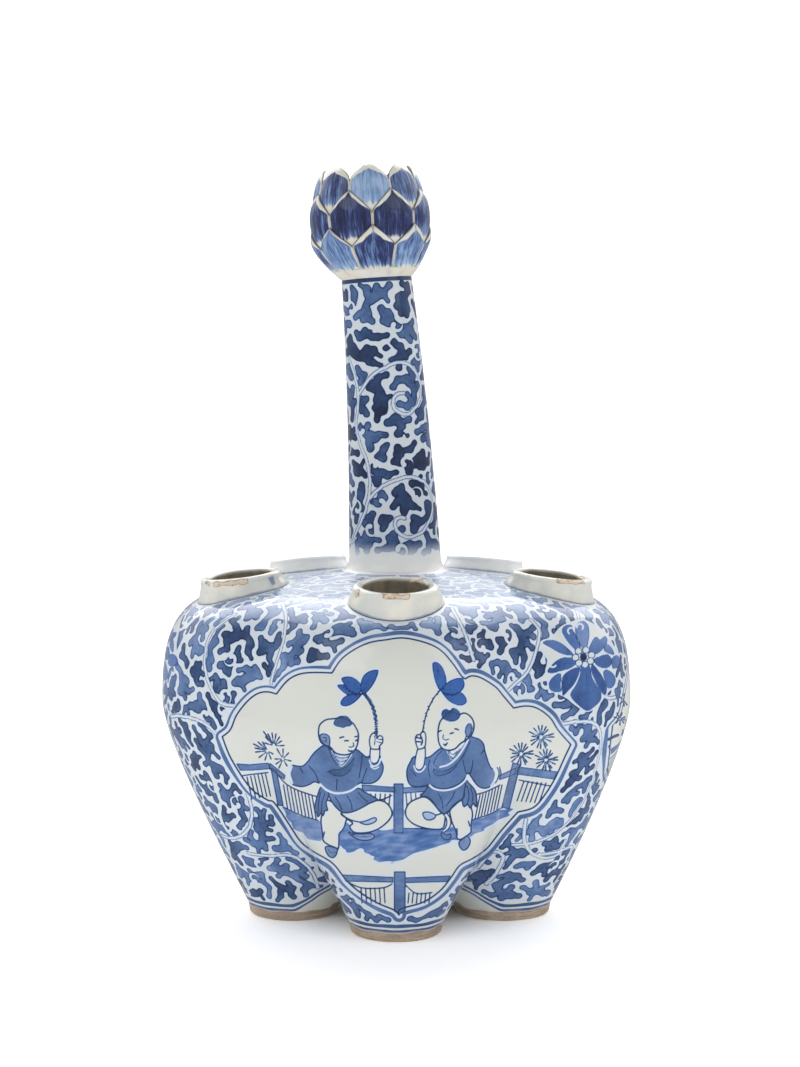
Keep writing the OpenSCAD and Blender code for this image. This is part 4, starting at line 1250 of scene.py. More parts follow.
def draw_flower(d):
    """The flower head: pointed petals of many sizes round white ones and a dark eye, parted by white."""
    d.blank([(541, 641), (551, 637), (560, 627), (570, 622), (582, 619), (594, 624), (607, 634), (614, 646),
        (620, 660), (616, 672), (614, 686), (606, 695), (600, 704), (588, 712), (576, 706), (566, 698),
        (556, 693), (548, 685), (545, 672), (547, 660), (541, 650)])
    for tone, petal in (
        (0.74, [(582, 665), (580.5, 676), (577, 685), (572, 693), (573, 698), (580, 705), (587, 709.5),
            (593, 706), (599, 700), (600, 693), (596, 686), (591.5, 678), (588.5, 666)]),
        (0.82, [(577.5, 668), (570, 671), (564, 676), (562.5, 683), (563, 690), (563.5, 694.5), (568, 690),
            (573.5, 684), (577.5, 676), (579, 669)]),
        (0.66, [(559.5, 674), (553, 678), (549.5, 684), (551, 689.5), (556, 691.5), (560.5, 690.5),
            (560, 684), (560.8, 678)]),
        (0.72, [(574, 659.5), (566, 658), (561, 659), (556, 662), (551, 667), (548.5, 671.5), (553, 672.6),
            (560, 670.5), (568, 668.5), (574, 664.5)]),
        (0.7, [(572, 654), (566, 647.5), (559, 642.5), (551, 640.5), (544, 643), (551, 647.5), (560, 652.5),
            (567, 654.5)]),
        (0.62, [(577, 650), (570.5, 644), (566, 638), (563, 631.5), (565, 627), (571, 626), (574, 633),
            (577.5, 641), (580, 648)]),
        (0.56, [(583, 647.5), (578, 638), (576, 630), (578, 624.5), (583, 622), (587.5, 626), (588.5, 634),
            (587.5, 642), (586, 647.5)]),
        (0.68, [(590, 648.5), (592.5, 642), (596, 637.5), (600, 640), (604.5, 637), (606.5, 641),
            (603, 647.5), (598, 652.5), (593, 653)]),
        (0.72, [(595, 659.5), (601, 656.5), (607, 655), (611, 660), (609, 666), (603, 667.5),
            (597, 664.5)]),
        (0.78, [(593, 665.5), (598.5, 671.5), (602.5, 678), (606, 687), (604.5, 694), (600.5, 689.5),
            (595.5, 680), (592, 671)]),
        (0.62, [(607, 670.5), (612.5, 674), (615, 680), (612.5, 686), (608.5, 687.5), (605.5, 680),
            (604, 673)]),
        (0.64, [(612.5, 659), (617, 656), (619.5, 661), (617.5, 667), (613, 667.5)]),
        (0.62, [(606.5, 644.5), (611, 648), (613.5, 654), (609, 653), (604.5, 650)]),
    ):
        middle = np.mean(petal, axis=0)
        d.shape(middle + 1.06 * (np.asarray(petal) - middle), tone - 0.06, 0.24, vivid=0.6)
    d.strokes(0.24, [(583, 672), (581, 684), (577, 693)], [(586, 671), (587, 686), (586, 702)],
        [(588, 676), (592, 688), (594, 698)], [(573, 663), (564, 664), (556, 668)],
        [(580, 645), (576, 638), (571, 630)], [(570, 651), (562, 647), (553, 643.5)])
    for x, y, turn_by in ((553, 664, 0.5), (571, 631, 2.2), (580, 627, 3.0)):
        d.gap(oval(x, y, 3.2, 3.2, np.linspace(turn_by, turn_by + 4, 6)), 0.6)
    all_round = np.linspace(0, 5.5, 8)
    for x, y in ((586, 650), (591.5, 655), (590.5, 661), (585, 664.5), (579, 663), (575.5, 657.5),
            (578.5, 651)):
        d.limb(oval(x, y, 3.4, 3.2, all_round), 0.26)
    d.shape(oval(583.5, 657, 2.9, 3.4, all_round), 1.0, 0.4)


# Vines on the body and on the neck, and white hooks on the neck, as points on the sheet
BODY_VINES = (
    [(283, 604), (286, 619), (283, 641), (275, 667), (271, 684)],
    [(236, 614), (214, 630), (206, 649), (205, 668), (211, 687), (220, 702), (234, 706)],
    [(171, 716), (188, 717), (207, 725), (222, 742), (235, 767), (246, 790), (252, 812), (248, 829),
        (235, 838), (222, 836)],
    [(248, 853), (266, 856), (292, 856), (311, 871), (318, 888)],
    [(452, 608), (465, 634), (474, 660)],
    [(508, 690), (528, 671), (537, 649), (539, 630), (530, 619)],
    [(526, 819), (524, 838), (532, 853), (545, 858), (558, 854), (565, 841)],
    [(478, 868), (492, 852), (503, 856), (498, 870), (486, 884)],
)

NECK_VINES = (
    [(352, 543), (359, 526), (367, 505), (370, 484), (367, 463), (360, 443), (356, 424), (358, 405),
        (357, 385), (349, 358)],
    [(370, 498), (380, 488), (395, 480), (412, 477), (426, 484), (432, 500), (431, 517), (422, 532),
        (409, 537), (399, 533), (395, 524), (398, 518), (405, 518)],
    [(358, 395), (371, 377), (386, 367), (402, 362), (415, 371), (421, 388), (418, 404), (408, 414),
        (398, 412), (393, 404), (396, 395), (404, 393)],
)

NECK_HOOKS = (
    [(384, 354), (381, 348), (386, 343), (392, 348), (390, 355), (384, 361)],
    [(406, 432), (412, 430), (413, 438), (407, 441), (404, 436)],
)


def paint_body(canvas, p, view, body, collars):
    """The whole decoration of the body: panels, vines, foliage, flower heads and the lines round collars
    and legs."""
    rng = np.random.default_rng(p.seed)
    paint_panels(canvas, view)
    sheet = canvas.sheet(view)
    for path in BODY_VINES:
        spots = canvas.locate(sheet, spline(path, steps=5))
        for spin in SPINS:
            canvas.trace(canvas.vine, canvas.spun(spots, spin), 4.0)
    z = canvas.p[..., 2]
    columns = canvas.cols // LOBES
    side = np.tile(np.abs(np.linspace(-1, 1, columns)), LOBES)[None]
    hem = z - HEM_Z - HEM_RISE * fade(side, 0.56, 0.94)
    ring = np.full(z.shape, 2 * FAR)
    for i in range(LOBES):
        origin, axes = placed_collar(body, collars, i)
        mine = np.s_[:, i * columns : (i + 1) * columns]
        local = (canvas.p[mine] - origin) @ axes.T
        out = np.hypot(local[..., 0], local[..., 1]) - collars.base_r
        ring[mine] = np.where(z[mine] > body.s.seam_z, out, ring[mine])
    ground = np.maximum(PANEL_MARGIN - canvas.panel, HEM_MARGIN - hem)
    canvas.edge = np.maximum(ground, COLLAR_MARGIN - ring)
    canvas.foliage(rng, p, BODY_LEAF)
    for spin in FLOWER_SPINS:
        draw_flower(Drawing(canvas, view, spin, (530, 600, 640, 725)))
    # Painted highlight: the leaves are paled towards the shoulder, standing in for the glare of light on
    # its top
    canvas.tone *= 1 - 0.45 * fade(z, 95, 106)
    wobble = 0.25 * np.sin(7 * side * math.pi + z)
    for height, half in ((0.0, 0.46), (1.75, 0.6)):
        canvas.line = np.minimum(canvas.line, np.maximum(np.abs(hem - height - 0.3 * wobble) - half, -0.04))
    canvas.line = np.minimum(canvas.line, np.abs(ring - 0.2) - 0.2)
    canvas.bare = body.s.foot_h + 0.1 + wobble - z


def paint_neck(canvas, p, view, neck, heights):
    """Scrolling foliage on the neck between a dark band under the bud and a white foot with a thin ring."""
    rng = np.random.default_rng(p.seed + 1)
    sheet = canvas.sheet(view)
    for paths, target in ((NECK_VINES, canvas.vine), (NECK_HOOKS, canvas.hook)):
        for path in paths:
            spots = canvas.locate(sheet, spline(path, steps=5))
            for spin in (0.0, math.pi):
                canvas.trace(target, canvas.spun(spots, spin), 4.0)
    h = heights + 0 * canvas.leaf
    canvas.edge = np.maximum(5.2 - h, h - neck.run + 0.9)
    canvas.foliage(rng, p, NECK_LEAF)
    canvas.tone = (canvas.tone + 0.12) * (0.72 + 0.28 * fade(h, 5, 12))
    canvas.line = np.minimum(canvas.line, np.minimum(neck.run - h - 1.3, np.abs(h - 0.45) - 0.3))


# Materials


class Wire:
    """A node socket that takes part in arithmetic: each operator adds a Math node."""

    def __init__(self, tree, socket):
        self.tree, self.socket = tree, socket

    def node(self, kind, settings=None, out=0, **inputs):
        """Adds a node: its settings first, then values or links for its sockets."""
        made = self.tree.nodes.new(kind)
        for name, value in (settings or {}).items():
            if name == "stops":
                ramp = made.color_ramp
                while len(ramp.elements) < len(value):
                    ramp.elements.new(1)
                for element, (place, shade) in zip(ramp.elements, value):
                    element.position, element.color = place, (*shade, 1)
            else:
                setattr(made, name, value)
        for name, value in inputs.items():
            numbered = name[0] == "i" and name[1:].isdigit()
            socket = made.inputs[int(name[1:]) if numbered else name]
            if isinstance(value, Wire):
                self.tree.links.new(value.socket, socket)
            else:
                socket.default_value = value
        return Wire(self.tree, made.outputs[out])

    def math(self, operation, *values):
        """A Math node on this value and others."""
        inputs = {f"i{i}": v for i, v in enumerate(values)}
        return self.node("ShaderNodeMath", {"operation": operation}, **inputs)

    def __add__(self, other):
        return self.math("ADD", self, other)

    __radd__ = __add__

    def __sub__(self, other):
        return self.math("SUBTRACT", self, other)

    def __rsub__(self, other):
        return self.math("SUBTRACT", other, self)

    def __mul__(self, other):
        return self.math("MULTIPLY", self, other)

    __rmul__ = __mul__

    def most(self, other):
        """The greater of two values."""
        return self.math("MAXIMUM", self, other)

    def least(self, other):
        """The lesser of two values."""
        return self.math("MINIMUM", self, other)

    def eased(self, low, high, to_low=0.0, to_high=1.0):
        """This value carried smoothly from one range to another."""
        ends = dict(i1=low, i2=high, i3=to_low, i4=to_high)
        return self.node("ShaderNodeMapRange", {"interpolation_type": "SMOOTHSTEP"}, i0=self, **ends)

    def mixed(self, first, second):
        """Colour between two colours, by this value."""
        return self.node("ShaderNodeMix", {"data_type": "RGBA"}, out=2, i0=self, i6=first, i7=second)

    def feed(self, shader, name):
        """Links this value to an input of a shader."""
        self.tree.links.new(self.socket, shader.inputs[name])


def material(name, roughness):
    """A new node material: the shader node and a wire to start from."""
    made = bpy.data.materials.new(name)
    made.use_nodes = True
    shader = made.node_tree.nodes["Principled BSDF"]
    shader.inputs["Roughness"].default_value = roughness
    return made, shader, Wire(made.node_tree, None)


def rgba(value, share=1.0):
    """A colour setting as a socket value, at a share of its strength."""
    return (*(v * share for v in value), 1.0)


def own_place(wire, axis=None):
    """The object's own coordinates in metres, or one of them by its number."""
    place = wire.node("ShaderNodeTexCoord", out=3)
    return place if axis is None else wire.node("ShaderNodeSeparateXYZ", Vector=place, out=axis)


def noise(wire, scale, detail=2.0, stretch=(1, 1, 1)):
    """Noise over the object's own coordinates, at a scale per metre."""
    place = wire.node("ShaderNodeMapping", i0=own_place(wire), i3=tuple(float(v) for v in stretch))
    return wire.node("ShaderNodeTexNoise", Vector=place, Scale=scale, Detail=detail)


def field(wire, name):
    """A painted field of the mesh."""
    return wire.node("ShaderNodeAttribute", {"attribute_name": name}, out=2)


def bumped(wire, shader, height, strength, distance):
    """Sends a height to the shader's normal through a Bump node."""
    bump = wire.node("ShaderNodeBump", Strength=strength, Distance=distance, Height=height)
    bump.feed(shader, "Normal")


def glaze_material(name, c, dim=0.0, bloom=0.0):
    """Cobalt painting under a clear glaze. Fields of the mesh give the paint, noise gives its washes. It
    can be dimmed above the shoulder, and given a painted glare just there: near-white mixed in that stands
    in for reflected light."""
    made, shader, w = material(name, 0.09)
    height = own_place(w, 2)
    leaf, tone, line = field(w, "leaf"), field(w, "tone"), field(w, "line")
    wash, wash_tone, vivid, bare = (field(w, v) for v in ("wash", "wash_tone", "vivid", "bare"))
    cloud = noise(w, 120.0, 3.0)
    grain = noise(w, 900.0, 2.0)
    pool = (cloud - 0.5) * 0.55 + (grain - 0.5) * 0.16
    edge = leaf.math("ABSOLUTE", leaf + 0.14).eased(0.0, 0.34, 0.24, 0.0)
    leaf_paint = leaf.eased(0.12, -0.1) * (tone + edge + pool)
    bleed = leaf.least(wash).eased(1.4, 0.0, 0.0, 0.16)
    wash_paint = wash.eased(0.12, -0.1) * (wash_tone + pool * 0.7)
    line_paint = line.eased(0.14, -0.1) * (0.88 + pool * 0.6)
    paint = leaf_paint.most(wash_paint).most(line_paint).most(bleed)
    ramps = []
    for common, strong in ((c.mid, c.deep), (c.bright, c.royal)):
        stops = [(0.0, c.white), (0.14, c.tint), (0.28, c.pale), (0.56, common), (0.8, strong),
            (1.0, c.ink)]
        ramps.append(w.node("ShaderNodeValToRGB", {"stops": stops}, Fac=paint))
    ramp = vivid.most(noise(w, 28.0, 2.0).eased(0.42, 0.62, 0.0, 0.12)).mixed(*ramps)
    speck = noise(w, 2200.0, 0.0).eased(0.8, 0.86, 0.0, 0.3) * noise(w, 160.0).eased(0.5, 0.62)
    glazed = height.eased(*NECK_DIM, 0.0, dim).mixed(speck.mixed(ramp, rgba(c.fritted)), rgba(c.ink))
    # Painted glare: near-white mixed in at the foot of the neck, fading out above it, in place of reflected
    # light
    if bloom:
        glazed = height.eased(*NECK_GLARE, 0.0, bloom).mixed(glazed, rgba(c.bloom))
    clay = bare.eased(-0.15, 0.15)
    edge_tint = bare.eased(-0.9, -0.1, 0.0, 0.35)
    tinted = edge_tint.mixed(glazed, rgba(c.biscuit))
    clay.mixed(tinted, biscuit_colour(w, c)).feed(shader, "Base Color")
    rough = clay.eased(0.0, 1.0, 0.09, 0.7) + (cloud - 0.5) * 0.05
    rough.feed(shader, "Roughness")
    bumped(w, shader, noise(w, 60.0, 2.0) + grain * 0.04, 0.12, 0.002)
    return made


def biscuit_colour(w, c):
    """Clay colour with darker and paler patches, level streaks and fine grit."""
    patch = noise(w, 90.0, 4.0).eased(0.3, 0.7)
    streak = noise(w, 160.0, 3.0, (1, 1, 9)).eased(0.42, 0.66, 0.0, 0.55)
    grit = noise(w, 1800.0, 1.0).eased(0.45, 0.75, 0.0, 0.45)
    pale, brown, dark = (rgba(c.biscuit, share) for share in (1.0, 0.68, 0.42))
    return grit.mixed(streak.mixed(patch.mixed(brown, pale), dark), dark)


def biscuit_material(name, c):
    """Unglazed clay of the feet, rough and gritty."""
    made, shader, w = material(name, 0.75)
    biscuit_colour(w, c).feed(shader, "Base Color")
    bumped(w, shader, noise(w, 1500.0, 3.0), 0.5, 0.0004)
    return made


def bud_material(name, c):
    """Thick cream glaze with faint pools."""
    made, shader, w = material(name, 0.12)
    pool = noise(w, 140.0, 3.0).eased(0.35, 0.7)
    blush = noise(w, 330.0, 3.0, (1, 1, 0.3)).eased(0.5, 0.72, 0.0, 0.4)
    glaze = blush.mixed(pool.mixed(rgba(c.cream), rgba(c.white)), rgba(c.blush))
    glaze.feed(shader, "Base Color")
    bumped(w, shader, noise(w, 90.0), 0.15, 0.002)
    return made


def petal_material(name, c):
    """Petals washed in streaks of blue that run from foot to tip, with a dark edge and slivers of white
    inside it on both sides of the tip. The wash gives way to cream in the notches of the tier below."""
    made, shader, w = material(name, 0.1)
    edge, across, up, rise = (field(w, v) for v in ("edge", "across", "up", "rise"))
    depth, shade, lip = (field(w, v) for v in ("depth", "shade", "lip"))
    along = w.node("ShaderNodeCombineXYZ", X=across * 7.0, Y=up * 0.8, Z=shade * 40.0)
    streak = w.node("ShaderNodeTexNoise", Vector=along, Scale=1.0, Detail=3.0) - 0.5
    fine = w.node("ShaderNodeTexNoise", Vector=along, Scale=2.6, Detail=2.0) - 0.5
    cloud = noise(w, 170.0, 3.0)
    sliver = up.eased(0.0, 0.3) * up.eased(0.95, 0.6)
    inside = edge - 0.3 - sliver * (0.35 + shade * 1.2) - lip * up.eased(-0.2, 0.3) + streak * 0.9
    wash = inside.eased(-0.15, 0.25) * (rise + streak * 3.5 + fine * 2.0).eased(-0.5, 0.7)
    tone = depth + streak * 1.0 + fine * 0.8 + (cloud - 0.5) * 0.5 - rise.eased(3.5, 0.0, 0.0, 0.22)
    stops = [(0.0, c.pale), (0.25, c.steel), (0.5, c.mid), (0.74, c.violet), (1.0, c.ink)]
    ramp = w.node("ShaderNodeValToRGB", {"stops": stops}, Fac=tone)
    margin = cloud.eased(0.35, 0.65).mixed(rgba(c.cream), rgba(c.white))
    outline = (edge + fine * 0.3).eased(0.4, 0.14) * up.eased(-0.12, 0.02)
    painted = (outline * 0.85).mixed(wash.mixed(margin, ramp), rgba(c.ink))
    painted.feed(shader, "Base Color")
    bumped(w, shader, noise(w, 200.0) + streak * 0.5 + fine * 0.3, 0.25, 0.001)
    return made


def collar_material(name, c):
    """Greenish glaze with chips of pale clay edged in brown on the rim, brushed blue at the foot and
    dull inside."""
    made, shader, w = material(name, 0.1)
    bore, base, chip, dab = (field(w, v) for v in ("bore", "base", "chip", "dab"))
    cloud = noise(w, 130.0, 3.0)
    glaze = cloud.eased(0.35, 0.7).mixed(rgba(c.white), rgba(c.celadon))
    foot = (base + (cloud - 0.5) * 1.4).eased(0.75, 0.1, 0.0, 0.6)
    brushed = foot.most((dab + (cloud - 0.5) * 2.0).eased(0.4, -0.3, 0.0, 0.85))
    # Painted glare: collars behind the axis are mixed towards near-white, standing in for reflected light
    back = own_place(w, 1).eased(*BACK_GLARE, 0.0, 0.8)
    glaze = brushed.mixed(back.mixed(glaze, rgba(c.bloom)), rgba(c.mid))
    inside = noise(w, 260.0, 4.0).eased(0.3, 0.7).mixed(rgba(c.bore), rgba(c.bore, 0.6))
    glaze = bore.mixed(glaze, inside)
    rough = noise(w, 700.0, 3.0)
    chip = chip + (noise(w, 420.0, 3.0) - 0.5) * 2.4
    worn = chip.eased(0.15, -0.15)
    edge = chip.math("ABSOLUTE", chip).eased(0.34, 0.06).most(rough.eased(0.52, 0.66, 0.0, 0.8))
    clay = edge.mixed(rgba(c.chip), rgba(c.fritted))
    worn.mixed(glaze, clay).feed(shader, "Base Color")
    worn.eased(0.0, 1.0, 0.1, 0.7).feed(shader, "Roughness")
    bumped(w, shader, noise(w, 90.0) - worn * 0.25, 0.3, 0.002)
    return made


# Operators


class VASE_OT_body(bpy.types.Operator):
    """Build the lobed body with its painted skin, one piece for each half of a lobe"""

    bl_idname = "vase.body"
    bl_label = "Body"

    def execute(self, context):
        s, n, k, p, c = (sizes(v) for v in ("body", "neck", "collar", "paint", "glaze"))
        body = Body(s, n.ring_r + SEAT_LIP)
        glaze = glaze_material("painted_porcelain", c)
        cols = int(LOBE_GIRTH / p.grid)
        leg_rows = int(LEG_RUN / p.grid)
        belly_rows = int(curve_length(body.lower) / p.grid) - leg_rows
        upper_rows = int(curve_length(body.upper) / p.grid)
        skin, fork, seam = body.skin(0, cols, leg_rows, belly_rows, upper_rows)
        lobes = np.stack([body.place(skin, i) for i in range(LOBES)], axis=1)
        normals = self.normals(lobes, fork)
        rows = lobes.shape[0]
        canvas = Canvas(lobes.reshape(rows, -1, 3), normals.reshape(rows, -1, 3), body.axis_y)
        paint_body(canvas, p, sizes("stage"), body, k)
        fields = {f: v.reshape(rows, LOBES, -1) for f, v in canvas.fields().items()}
        for i, side in enumerate(SIDES):
            mine = {f: v[:, i] for f, v in fields.items()}
            self.lower_lobe(body, side, i, lobes[: seam + 1, i], normals[: seam + 1, i],
                            {f: v[: seam + 1] for f, v in mine.items()}, fork, glaze)
            self.upper_lobe(body, k, n, side, i, lobes[seam:, i], normals[seam:, i],
                            {f: v[seam:] for f, v in mine.items()}, glaze)
        return {"FINISHED"}

    @staticmethod
    def normals(lobes, fork):
        """Normals of the whole skin, worked out across the valleys so that no seam shows between lobes.
        On the legs they come from the circle of the leg."""
        rows = lobes.shape[0]
        joined = grid_normals(lobes[:, :, :-1].reshape(rows, -1, 3), True).reshape(rows, LOBES, -1, 3)
        whole = np.concatenate([joined, np.roll(joined, -1, axis=1)[:, :, :1]], axis=2)
        for i in range(LOBES):
            whole[:fork, i] = grid_normals(lobes[: fork + 1, i], False)[:fork]
        return whole

    @staticmethod
    def lower_lobe(body, side, i, points, normals, fields, fork, glaze):
        """Closed piece from the foot to the seam, with the inner side of the leg, the vault and the
        inside."""
        s, shell = body.s, Shell()
        seam = points.shape[0] - 1
        arc, vault_rows = 24, 10
        leg, vault = body.inner_leg(0, arc, fork, vault_rows, s.vault_rise)
        outer = shell.add(points, normals, **fields)
        plain = unpainted(fields)
        inner_side = shell.add(body.place(leg, i), **dict(plain, bare=s.foot_h + 1.2 - leg[..., 2]))
        under = shell.add(body.place(vault, i), **plain)
        shell.sheet(outer)
        shell.sheet(inner_side)
        shell.sheet(under)
        cols, legs, belly = 40, 6, 20
        hollow, inner_fork, inner_seam = body.skin(s.wall, cols, legs, belly, 4)
        hollow = shell.add(body.place(hollow[: inner_seam + 1], i), **plain)
        leg_in, floor = body.inner_leg(s.wall, arc, legs, vault_rows, s.floor_crown)
        leg_in = shell.add(body.place(leg_in, i), **plain)
        floor = shell.add(body.place(floor, i), **plain)
        for block in (hollow, leg_in, floor):
            shell.sheet(block, flip=True)
        shell.strip(outer[seam], hollow[inner_seam])
        half = HALF_STEP + math.pi / 2
        outer_loop = np.r_[outer[0], inner_side[0, 1:-1]]
        inner_loop = np.r_[hollow[0], leg_in[0, 1:-1]]

        def arcs(count):
            """Angles round a leg: so many steps on its outer side, and then its inner side."""
            inner_arc = np.linspace(half, 2 * math.pi - half, arc + 1)[1:-1]
            return np.r_[np.linspace(-half, half, count + 1), inner_arc]

        shell.ring(outer_loop, inner_loop, arcs(points.shape[1] - 1), arcs(cols), flip=True)
        for j, edge, flip in ((-1, 0, True), (0, -1, False)):
            shell.strip(outer[fork:, j], hollow[inner_fork:, j], flip)
            shell.strip(under[::-1, edge], floor[::-1, edge], flip)
        carry(shell.piece(f"lower_lobe_{side}", glaze), "painted_porcelain", "lower_body")

    @staticmethod
    def upper_lobe(body, k, n, side, i, points, normals, fields, glaze):
        """Closed piece from the seam to the neck, with the hole under the collar and the inside."""
        s, shell = body.s, Shell()
        origin, axes = placed_collar(body, k, i)
        hole_r = k.bore_r + HOLE_ROOM
        neck_bore = n.base_r - n.wall
        plain = unpainted(fields)
        inner, _, inner_seam = body.skin(s.wall, columns=48, leg_rows=4, belly_rows=6, upper_rows=40)
        inner = body.place(inner[inner_seam:], i)

        def ledge(rim):
            """The rim of a skin drawn in level to the bore of the neck."""
            across = rim - np.array([0, body.axis_y, 0])
            across[..., :2] *= (neck_bore / np.hypot(across[..., 0], across[..., 1]))[..., None]
            return across + np.array([0, body.axis_y, 0])

        opened, kept, rim, at = pierce(points, origin, axes, hole_r)
        inside, kept_in, rim_in, at_in = pierce(inner, origin, axes, hole_r)
        outer = shell.add(opened, normals, **fields)
        hollow = shell.add(inside, **plain)
        flat = shell.add(ledge(points[-1])[None], **plain)
        flat_in = shell.add(ledge(inner[-1])[None], **plain)
        shell.sheet(outer, keep=kept)
        shell.sheet(hollow, flip=True, keep=kept_in)
        shell.sheet(np.concatenate([outer[-1:], flat]))
        shell.sheet(np.concatenate([hollow[-1:], flat_in]), flip=True)
        shell.ring(outer[rim], hollow[rim_in], at, at_in)
        shell.strip(outer[0], hollow[0], flip=True)
        shell.strip(flat[0], flat_in[0])
        for j, flip in ((-1, True), (0, False)):
            shell.strip(np.r_[outer[:, j], flat[0, j]], np.r_[hollow[:, j], flat_in[0, j]], flip)
        carry(shell.piece(f"upper_lobe_{side}", glaze), "painted_porcelain", "upper_body")


class VASE_OT_neck(bpy.types.Operator):
    """Build the leaning neck with its painted skin"""

    bl_idname = "vase.neck"
    bl_label = "Neck"

    def execute(self, context):
        s, n, p, c = (sizes(v) for v in ("body", "neck", "paint", "glaze"))
        neck = Neck(n, (0, Body(s, 0).axis_y, s.shoulder_z))
        rows, cols = int(n.run / p.grid), int(2 * math.pi * n.base_r / p.grid)
        theta = np.linspace(0, 2 * math.pi, cols + 1)[None] + math.pi / 2
        r, h = neck.profile(rows)
        points = neck.place(r[:, None], h[:, None], theta)
        normals = grid_normals(points[:, :-1], True)
        normals = np.concatenate([normals, normals[:, :1]], axis=1)
        canvas = Canvas(points, normals, neck.foot[1])
        paint_neck(canvas, p, sizes("stage"), n, h[:, None])
        shell = Shell()
        outer = shell.add(points, normals, **canvas.fields())
        plain = unpainted(canvas.fields())
        bore_h = np.linspace(0, n.run, 41)[:, None]
        bore_r = n.base_r - n.wall + (n.top_r - n.base_r) * bore_h / n.run
        bore = shell.add(neck.place(bore_r, bore_h, theta), **plain)
        shell.sheet(outer)
        shell.sheet(bore, flip=True)
        shell.sheet(np.stack([outer[-1], bore[-1]]))
        shell.sheet(np.stack([bore[0], outer[0]]))
        glaze = glaze_material("painted_neck", c, dim=0.1, bloom=0.8)
        carry(shell.piece("neck_tube", glaze), "painted_neck", "neck")
        return {"FINISHED"}


# Strength of the wash on each petal of a tier, from the front one round to the right
PETAL_TONES = {
    "lower": (0.72, 0.5, 0.58, 0.52, 0.62, 0.5, 0.58, 0.5),
    "middle": (0.84, 0.7, 0.8, 0.76, 0.84, 0.72, 0.74, 0.86),
    "upper": (0.3, 0.62, 0.5, 0.66, 0.4, 0.6, 0.52, 0.72),
}


class VASE_OT_bud(bpy.types.Operator):
    """Build the cup of the lotus bud and its three tiers of petals"""

    bl_idname = "vase.bud"
    bl_label = "Bud"

    def execute(self, context):
        s, n, b, c = (sizes(v) for v in ("body", "neck", "bud", "glaze"))
        bud = Bud(b, n, (0, Body(s, 0).axis_y, s.shoulder_z))
        ledge, rim = bud.at_height(b.ledge_h), bud.at_height(b.rim_h)
        behind = 3 * b.petal_t
        runs = [(0, ledge, 0), (ledge, rim, behind), (rim, ledge, behind + b.cup_wall)]
        profile = np.concatenate([bud.outline(np.linspace(t0, t1, 25), depth) for t0, t1, depth in runs]
                                 + [np.array([[n.top_r - n.wall, 0.0]])])
        shell = Shell()
        shell.sheet(shell.add(bud.place(*turned(profile))))
        carry(shell.piece("bud_bowl", bud_material("bud_glaze", c)), "bud_glaze", "bud_cup")
        paint = petal_material("painted_petals", c)
        # Name, layer, heights of notch and tip, droop, power of narrowing, and top of the cream
        tiers = (("lower", 0, b.lower_notch_h, b.lower_tip_h, 1, 1.1, b.ledge_h + 0.5),
                 ("middle", 1, b.middle_notch_h, b.middle_tip_h, 1, 1.1, b.lower_notch_h + 2.6),
                 ("upper", 2, b.rim_h, b.height, 0, 1.6, b.middle_notch_h + 2.6))
        for name, layer, notch_h, tip_h, droop, power, cream_h in tiers:
            notch, tip = bud.at_height(notch_h), bud.at_height(tip_h)
            self.tier(bud, name, layer, notch, tip, droop, power, cream_h, paint)
        return {"FINISHED"}

    @staticmethod
    def tier(bud, name, layer, notch, tip, droop, power, cream_h, paint):
        """A ring of petals. Each spans its share of the circle up to the notch and narrows to a tip: the
        half angle falls with a power of the way from notch to tip. The face sinks towards its edges and
        its tip."""
        b, shell = bud.b, Shell()
        rng = np.random.default_rng(layer + 5)
        half = math.pi / b.petal_n - b.petal_gap / 2
        foot = bud.at_height(b.ledge_h)
        rows, middle, tones = 60, 20, PETAL_TONES[name]
        t = np.linspace(foot, tip, rows + 1)[:, None]
        u = np.linspace(-1, 1, 2 * middle + 1)[None]
        way = np.clip((t - notch) / (tip - notch), 0, 1)
        narrow = 1 - way**power
        depth = layer * b.petal_t + b.petal_dip * (np.maximum(u**4, way**2) + droop * way**3)
        face = bud.outline(t + 0 * u, depth)
        back = bud.outline(t + 0 * u, np.maximum(depth + 0.12, (layer + 1) * b.petal_t - b.petal_seat))
        width = face[..., 0] * half * narrow
        rise = np.abs(np.gradient(face[:, middle, 1]))
        slope = np.gradient(width[:, middle]) / np.maximum(rise, 1e-6)
        edge = (1 - np.abs(u)) * width / np.sqrt(1 + slope[:, None] ** 2)
        for k in range(b.petal_n):
            centre = FRONT + b.petal_turn + (k + (0.5 if layer == 1 else 0.0)) * 2 * math.pi / b.petal_n
            values = dict(edge=edge, across=u, up=(t - notch) / (tip - notch) + 0 * u,
                          rise=face[..., 1] - cream_h, depth=tones[k % len(tones)],
                          shade=rng.uniform(0, 1), lip=0.8 * (layer == 2))
            out = shell.add(bud.place(face, centre + u * half * narrow), **values)
            rear = shell.add(bud.place(back, centre + u * half * narrow), **values)
            shell.sheet(out)
            shell.sheet(rear, flip=True)
            shell.sheet(np.stack([out[:, -1], rear[:, -1]], axis=1))
            shell.sheet(np.stack([rear[:, 0], out[:, 0]], axis=1))
            shell.sheet(np.stack([rear[0], out[0]]))
        carry(shell.piece(f"{name}_tier", paint), "painted_petals", f"{name}_petals")


# Chips on the rims: lobe, degrees from outward, half width, and lowest and highest height on the rim
CHIPS = (
    (0, 0, 4.2, -0.3, 1.2),
    (0, -62, 1.0, -0.8, 0.9),
    (0, 140, 2.2, 0.3, 2.0),
    (4, 60, 5.6, -0.5, 1.0),
    (4, 20, 1.2, 0.1, 0.9),
    (1, 30, 2.4, 0.6, 2.0),
    (1, -46, 5.4, 0.2, 1.6),
)

# A dab of blue, likewise
DABS = ((4, 122, 1.0, -2.6, 0.0),)

# Waves round an uneven rim
RIM_WAVES = (1, 2, 3, 5)


